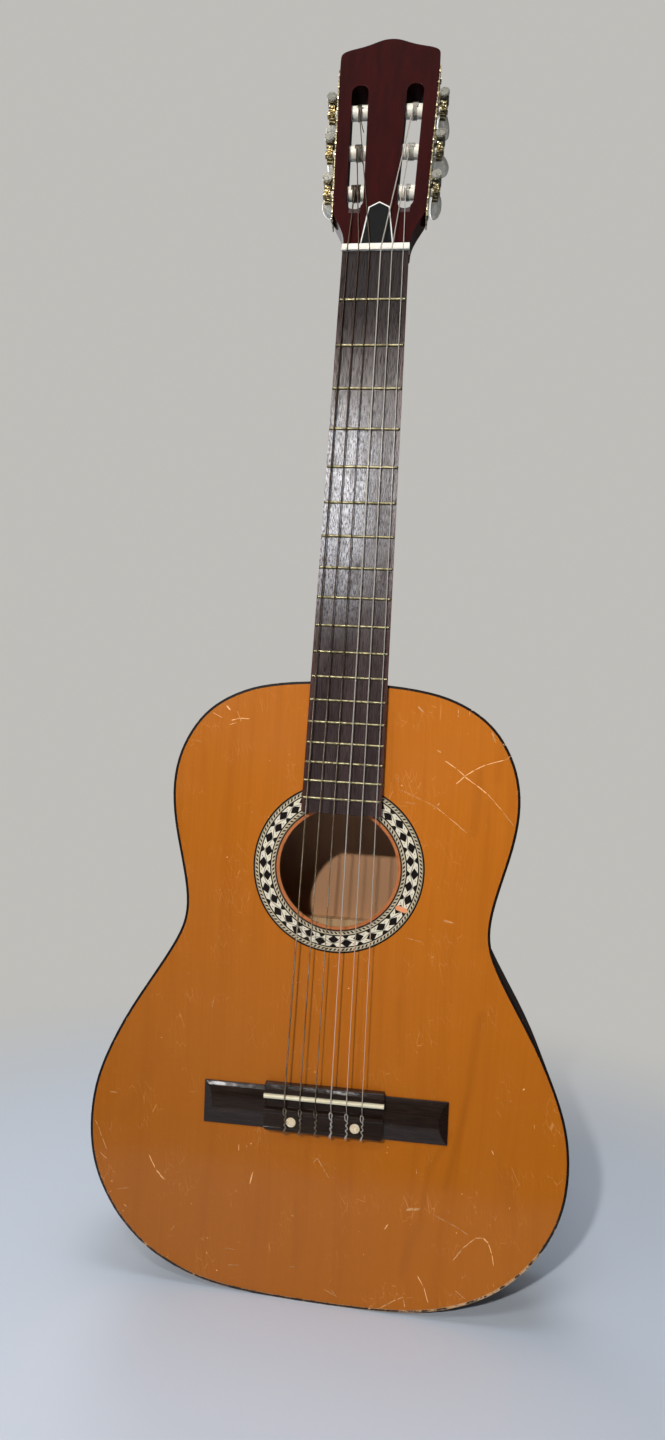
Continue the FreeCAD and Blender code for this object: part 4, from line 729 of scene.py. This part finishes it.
# painted shade: a darker copy of the cog brass for the cogs on the head's right side, away from the lamps
MATS["cog_brass_shaded"] = make_metal("cog_brass_shaded", srgb(170, 160, 128), srgb(70, 62, 44), rough=0.24, tarnish=0.9, scale=0.7, seed=17.0).mat
MATS["worm_metal"] = make_metal("worm_metal", srgb(182, 180, 170), srgb(104, 98, 80), rough=0.2, tarnish=0.7, scale=0.3, seed=2.0, spots=False).set("metal", 0.72).mat
MATS["roller_plastic"] = make_plastic("roller_plastic", srgb(236, 232, 220), srgb(206, 198, 176), rough=0.34, sss=0.2, amount=0.6, scale=0.2).mat
MATS["button_pearloid"] = make_pearloid("button_pearloid")
MATS["nylon_string"] = make_nylon("nylon_string", srgb(206, 200, 190))
MATS["wound_string"] = make_wound("wound_string")

for name, ob in NODES.items():
    slot = ob.data.materials[0].name.split(".")[0] if ob.data.materials and ob.data.materials[0] else None
    rec = [m["slot"] for m in frame["record"]["materials"] if name in m.get("nodes", [])] if frame["record"].get("materials") else []
    key = slot if slot in MATS else (rec[0] if rec else None)
    if name == "back":
        key = "back_wood"
    elif name in ("tuner_cog_g3", "tuner_cog_b2", "tuner_cog_e1"):
        # painted shade: the right-hand cogs take the darker copy of the brass
        key = "cog_brass_shaded"
    ob.data.materials.clear()
    ob.data.materials.append(MATS[key])


# ------------------------------------------------------------------ scratches in the lacquer
def mesh_object(name, verts, faces, mat, body, smooth=True, attr=None):
    me = bpy.data.meshes.new(name)
    me.from_pydata([tuple(v) for v in verts], [], faces)
    me.materials.append(mat)
    me.polygons.foreach_set("use_smooth", [smooth] * len(me.polygons))
    if attr:
        a = me.attributes.new(attr[0], "FLOAT", "POINT")
        a.data.foreach_set("value", attr[1])
    me.update()
    ob = bpy.data.objects.new(name, me)
    bpy.context.scene.collection.objects.link(ob)
    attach(ob, body)
    return ob


def build_scratches():
    """Each scratch is a bundle of hairline strips of bared wood, level with the lacquer."""
    rng = random.Random(7)
    verts, faces, strength = [], [], []
    layer = 0

    def strip(x0, z0, x1, z1, w, k):
        nonlocal layer
        layer += 1
        ln = math.hypot(x1 - x0, z1 - z0)
        n = max(3, int(ln / 0.9))
        tx, tz = (x1 - x0) / ln, (z1 - z0) / ln
        nx, nz = -tz, tx
        y = TOP_Y - 0.00002 - (layer % 9) * 0.000003
        base = len(verts)
        drift = 0.0
        kink = 0.0
        for i in range(n + 1):
            if i % 3 == 0:
                kink = rng.uniform(-0.28, 0.28)
            t = i / n
            drift += rng.uniform(-0.06, 0.06) + (kink - drift) * 0.3
            half = w * 0.5 * rng.uniform(0.45, 1.15) * min(1.0, 0.15 + 4.0 * min(t, 1 - t))
            for sgn in (-1, 1):
                verts.append(((x0 + tx * ln * t + nx * (drift + sgn * half)) / 1000, y, (z0 + tz * ln * t + nz * (drift + sgn * half)) / 1000))
                strength.append(k * rng.uniform(0.6, 1.0))
            if i:
                a = base + 2 * i
                faces.append((a - 2, a, a + 1, a - 1))

    for (x0, z0), (x1, z1), w, k in SCRATCHES:
        for _ in range(2 if w < 0.7 else 3):
            o = rng.uniform(-0.35, 0.35) * w
            q = rng.uniform(-0.35, 0.35) * w
            e = rng.uniform(0.0, 0.12)
            dx, dz = x1 - x0, z1 - z0
            strip(x0 + dx * e * 0.4 + o, z0 + dz * e * 0.4 + q, x1 - dx * e * 0.4 + q, z1 - dz * e * 0.4 + o, w * 0.72, min(1.0, k * 0.98 + 0.04))
    m = Mat("bared_wood", rough=0.55)
    n = m.noise(m.mm(), 1.3, 2, 0.7)
    clump = m.noise(m.mm(), 0.32, 2, 0.6)
    m.set("color", m.mix(n, srgb(252, 204, 138), srgb(232, 162, 90)))
    m.set("alpha", (m.attr("strength") * 1.35 * n.step(0.16, 0.42) * clump.step(0.22, 0.5).mad(0.75, 0.25)).sat())
    return mesh_object("lacquer_scratches", verts, faces, m.mat, "root", smooth=False, attr=("strength", strength))


build_scratches()


# ------------------------------------------------------------------ string ends
BRIDGE_SKEW = math.radians(1.2)


def on_bridge(x, y, z):
    """A point drawn square to the bridge, placed on the guitar."""
    c, s = math.cos(BRIDGE_SKEW), math.sin(BRIDGE_SKEW)
    dz = z + 670.0
    return at(x * c - dz * s + 0.8, y, -670.0 + x * s + dz * c)


def smooth_path(points, steps=6):
    """A Catmull-Rom curve through the points."""
    pts = [points[0]] + list(points) + [points[-1]]
    out = []
    for i in range(1, len(pts) - 2):
        p0, p1, p2, p3 = (Vector(p) for p in pts[i - 1:i + 3])
        for k in range(steps):
            t = k / steps
            out.append(0.5 * ((2 * p1) + (p2 - p0) * t + (2 * p0 - 5 * p1 + 4 * p2 - p3) * t * t + (3 * p1 - p0 - 3 * p2 + p3) * t ** 3))
    out.append(Vector(points[-1]))
    return out


def tube(path, r, sides=10):
    """Vertices and faces of a round cord along the path, its ends rounded off."""
    verts, faces = [], []
    n = len(path)
    tangents = [(path[min(i + 1, n - 1)] - path[max(i - 1, 0)]).normalized() for i in range(n)]
    ref = tangents[0].orthogonal().normalized()
    rings = []

    def ring(c, t, rad):
        nonlocal ref
        ref = (ref - t * ref.dot(t)).normalized()
        side = t.cross(ref)
        base = len(verts)
        for k in range(sides):
            a = 2 * math.pi * k / sides
            verts.append(c + ref * (math.cos(a) * rad) + side * (math.sin(a) * rad))
        rings.append(base)

    ring(path[0] - tangents[0] * r * 0.5, tangents[0], r * 0.6)
    for p, t in zip(path, tangents):
        ring(p, t, r)
    ring(path[-1] + tangents[-1] * r * 0.5, tangents[-1], r * 0.6)
    for a, b in zip(rings, rings[1:]):
        for k in range(sides):
            faces.append((a + k, a + (k + 1) % sides, b + (k + 1) % sides, b + k))
    faces.append(tuple(rings[0] + k for k in reversed(range(sides))))
    faces.append(tuple(rings[-1] + k for k in range(sides)))
    return verts, faces


STRING = {  # radius, x at the bridge
    "e6": (0.55, -30.6), "a5": (0.45, -18.4), "d4": (0.38, -6.1), "g3": (0.50, 6.1), "b2": (0.41, 18.4), "e1": (0.36, 30.6),
}
STRING_MAT = {t: ("wound_string" if t in ("e6", "a5", "d4") else "nylon_string") for t in TAGS}


def bridge_knot(tag, seed):
    """The string's end: out behind the tie block, back over it, once round the string and twisted back."""
    rng = random.Random(seed)
    r, xs = STRING[tag]
    top = -(9.3 + r + 0.06)
    flat = -(8.75 + r + 0.06)
    pts = [(xs, -5.9, -687.4), (xs, -5.9, -688.2 - r), (xs + 0.2, -7.4, -688.6 - r), (xs + 0.5, top - 0.1, -687.0), (xs + 0.7, top - 0.05, -685.2)]
    z = -683.4
    sway = 1
    while z < -674.0:
        pts.append((xs + 0.75 + sway * rng.uniform(0.35, 0.75), flat - 0.1, z))
        sway = -sway
        z += rng.uniform(1.7, 2.4)
    pts += [(xs + 0.9, top - 0.1, -672.2), (xs + 1.15, top - 0.15, -670.3), (xs + 1.1, -9.2 - r, -668.6), (xs + 0.4, -9.5 - 2.2 * r, -667.5),
            (xs - 0.7, -9.0 - 1.6 * r, -667.7), (xs - 1.1, top + 0.2, -669.0), (xs - 0.9, top - 0.25, -670.6), (xs - 0.4, top - 1.0 * r - 0.2, -672.2)]
    z = -674.2
    while z > -683.4:
        pts.append((xs + 0.55 - sway * rng.uniform(0.4, 0.95), flat - 1.5 * r, z))
        sway = -sway
        z -= rng.uniform(1.7, 2.5)
    pts += [(xs - 0.1, top - 0.6, -685.4), (xs - 0.5, top + 0.2, -687.4), (xs - 0.7, -7.9, -688.6)]
    path = smooth_path([on_bridge(*p) for p in pts], 6)
    v, f = tube(path, r / 1000.0 * 0.93)
    return mesh_object("string_end_" + tag, v, f, MATS[STRING_MAT[tag]], "root")


TILT = math.radians(9.5)
TAPER = math.radians(1.42)


def on_head(side, u, d, v):
    """u across the tuner's axis from the head's edge (away from the middle is positive), d depth behind the head's face, v along the head."""
    x = side * (37.45 + u * math.cos(TAPER) + v * math.sin(TAPER))
    s = 87.6 - u * math.sin(TAPER) + v * math.cos(TAPER)
    return at(x, d * math.cos(TILT) + s * math.sin(TILT), 5.3 - d * math.sin(TILT) + s * math.cos(TILT))


WINDING = {  # side, row, first coil, pitch and number of turns across the barrel, tail
    "e6": (-1, -1, -13.6, -1.25, 5.4, 0.0), "a5": (-1, 0, -14.9, -1.1, 4.4, 13.0), "d4": (-1, 1, -15.2, -0.95, 3.4, 19.0),
    "g3": (1, 1, -14.4, -1.1, 3.6, 0.0), "b2": (1, 0, -13.8, -1.0, 5.2, 0.0), "e1": (1, -1, -14.2, -0.9, 3.4, 0.0),
}


def winding(tag):
    side, k, u0, pitch, turns, tail = WINDING[tag]
    r = STRING[tag][0] * 0.93
    rad = 5.4 + r + 0.05
    pts = []
    n = int(turns * 20)
    for i in range(n + 1):
        a = 2 * math.pi * i / 20
        u = u0 + pitch * i / 20
        pts.append(on_head(side, u, 9.5 - rad * math.cos(a), k * 35.0 + rad * math.sin(a)))
    u = u0 + pitch * turns
    if tail:
        a = 2 * math.pi * turns
        d, v = 9.5 - rad * math.cos(a), k * 35.0 + rad * math.sin(a)
        for j, (du, dd, dv) in enumerate(((0.1, -0.9, -2.4), (0.4, -0.2, -5.6), (0.2, 1.2, -9.4), (-0.8, 2.6, -0.75 * tail), (-2.2, 3.2, -tail))):
            pts.append(on_head(side, u + du, max(3.2, 9.5 - rad) + dd, k * 35.0 + dv))
    path = smooth_path(pts, 2)
    v, f = tube(path, r / 1000.0, 8)
    return mesh_object("string_turns_" + tag, v, f, MATS[STRING_MAT[tag]], "roller_" + tag)


for i, tag in enumerate(TAGS):
    bridge_knot(tag, 20 + i)
    winding(tag)


# ------------------------------------------------------------------ floor, light and camera
ROOM = (0.52, 0.51, 0.485)


def make_floor():
    me = bpy.data.meshes.new("floor")
    s = 6.0
    me.from_pydata([(-s, -s, 0.0), (s, -s, 0.0), (s, s, 0.0), (-s, s, 0.0)], [], [(0, 1, 2, 3)])
    me.update()
    ob = bpy.data.objects.new("floor", me)
    bpy.context.scene.collection.objects.link(ob)
    m = Mat("floor_paint", rough=0.5)
    # in the lacquer's reflections the floor ends a little way off; seen directly it runs out into the pale room
    ray = m.node("ShaderNodeLightPath")
    glossy, direct = Num(m, ray.outputs["Is Glossy Ray"]), Num(m, ray.outputs["Is Camera Ray"])
    x, y, _ = m.xyz()
    ahead = y.step(-225.0, -300.0).max(x.step(230.0, 300.0))
    m.set("color", m.mix(glossy * ahead, srgb(206, 216, 231), srgb(40, 38, 38)))
    away = (x * x + y * y).pow(0.5).step(300.0, 900.0)
    room = m.node("ShaderNodeEmission")
    room.inputs["Color"].default_value = (*ROOM, 1.0)
    blend = m.node("ShaderNodeMixShader")
    m.t.links.new((direct * away).s, blend.inputs[0])
    m.t.links.new(m.bsdf.outputs[0], blend.inputs[1])
    m.t.links.new(room.outputs[0], blend.inputs[2])
    m.t.links.new(blend.outputs[0], m.out.inputs[0])
    me.materials.append(m.mat)
    return ob


def area_light(name, where, aim, size, watts, colour=(1.0, 1.0, 1.0), size_y=None):
    data = bpy.data.lights.new(name, "AREA")
    data.energy = watts
    data.color = colour
    data.shape = "RECTANGLE" if size_y else "DISK"
    data.size = size
    if size_y:
        data.size_y = size_y
    ob = bpy.data.objects.new(name, data)
    ob.location = where
    ob.rotation_euler = (Vector(aim) - Vector(where)).to_track_quat("-Z", "Y").to_euler()
    bpy.context.scene.collection.objects.link(ob)
    return ob


make_floor()
area_light("key", (-0.42, -1.98, 1.25), (0.0, 0.0, 0.38), 0.07, 33.0, (1.0, 0.965, 0.91))
area_light("fill", (-1.15, -1.75, 1.75), (0.0, 0.0, 0.45), 0.9, 4.5, (1.0, 0.98, 0.95))
area_light("overhead", (0.0, -0.1, 2.5), (0.0, -0.05, 0.4), 1.3, 16.0, (0.93, 0.96, 1.0))
area_light("strip", (-0.42, -1.7, 2.15), (0.0, -0.04, 0.17), 0.6, 9.0, (1.0, 0.98, 0.96), size_y=0.13)
area_light("behind", (-0.9, 1.9, 1.5), (0.0, 0.0, 0.45), 1.4, 9.0, (0.98, 0.99, 1.0))

# The room seen directly is pale; what falls on the guitar is dimmer, least of all from the side of the room.
world = bpy.data.worlds.new("studio")
world.use_nodes = True
wt = world.node_tree
wt.nodes.clear()
wout = wt.nodes.new("ShaderNodeOutputWorld")
seen = wt.nodes.new("ShaderNodeBackground")
seen.inputs[0].default_value = (*ROOM, 1.0)
cast = wt.nodes.new("ShaderNodeBackground")
wtc = wt.nodes.new("ShaderNodeTexCoord")
wsep = wt.nodes.new("ShaderNodeSeparateXYZ")
wt.links.new(wtc.outputs["Generated"], wsep.inputs[0])
wy = wt.nodes.new("ShaderNodeMapRange")
wt.links.new(wsep.outputs[1], wy.inputs["Value"])
for key, val in (("From Min", -0.6), ("From Max", 0.8), ("To Min", 0.0), ("To Max", 1.0)):
    wy.inputs[key].default_value = val
wmix = wt.nodes.new("ShaderNodeMix")
wmix.data_type = "RGBA"
wt.links.new(wy.outputs[0], wmix.inputs[0])
wmix.inputs[6].default_value = (0.06, 0.059, 0.058, 1.0)
wmix.inputs[7].default_value = (0.12, 0.118, 0.112, 1.0)
wt.links.new(wmix.outputs[2], cast.inputs[0])
wpath = wt.nodes.new("ShaderNodeLightPath")
wsel = wt.nodes.new("ShaderNodeMixShader")
wt.links.new(wpath.outputs["Is Camera Ray"], wsel.inputs[0])
wt.links.new(cast.outputs[0], wsel.inputs[1])
wt.links.new(seen.outputs[0], wsel.inputs[2])
wt.links.new(wsel.outputs[0], wout.inputs[0])
bpy.context.scene.world = world
bpy.context.scene.view_settings.view_transform = "Standard"

cam_data = bpy.data.cameras.new("camera")
cam_data.sensor_width = 36.0
cam_data.lens = 23.884
cam_data.shift_x = 0.04383
cam_data.shift_y = 0.03153
cam_data.clip_start = 0.01
cam_data.clip_end = 50.0
camera = bpy.data.objects.new("camera", cam_data)
bpy.context.scene.collection.objects.link(camera)
forward = Vector((-0.151710, 0.987443, -0.044056)).normalized()
right = Vector((0.986345, 0.154130, 0.058028))
right = (right - forward * right.dot(forward)).normalized()
up = right.cross(forward)
camera.matrix_world = Matrix((
    (right.x, up.x, -forward.x, 0.05593),
    (right.y, up.y, -forward.y, -0.79223),
    (right.z, up.z, -forward.z, 0.46440),
    (0.0, 0.0, 0.0, 1.0),
))
bpy.context.scene.camera = camera
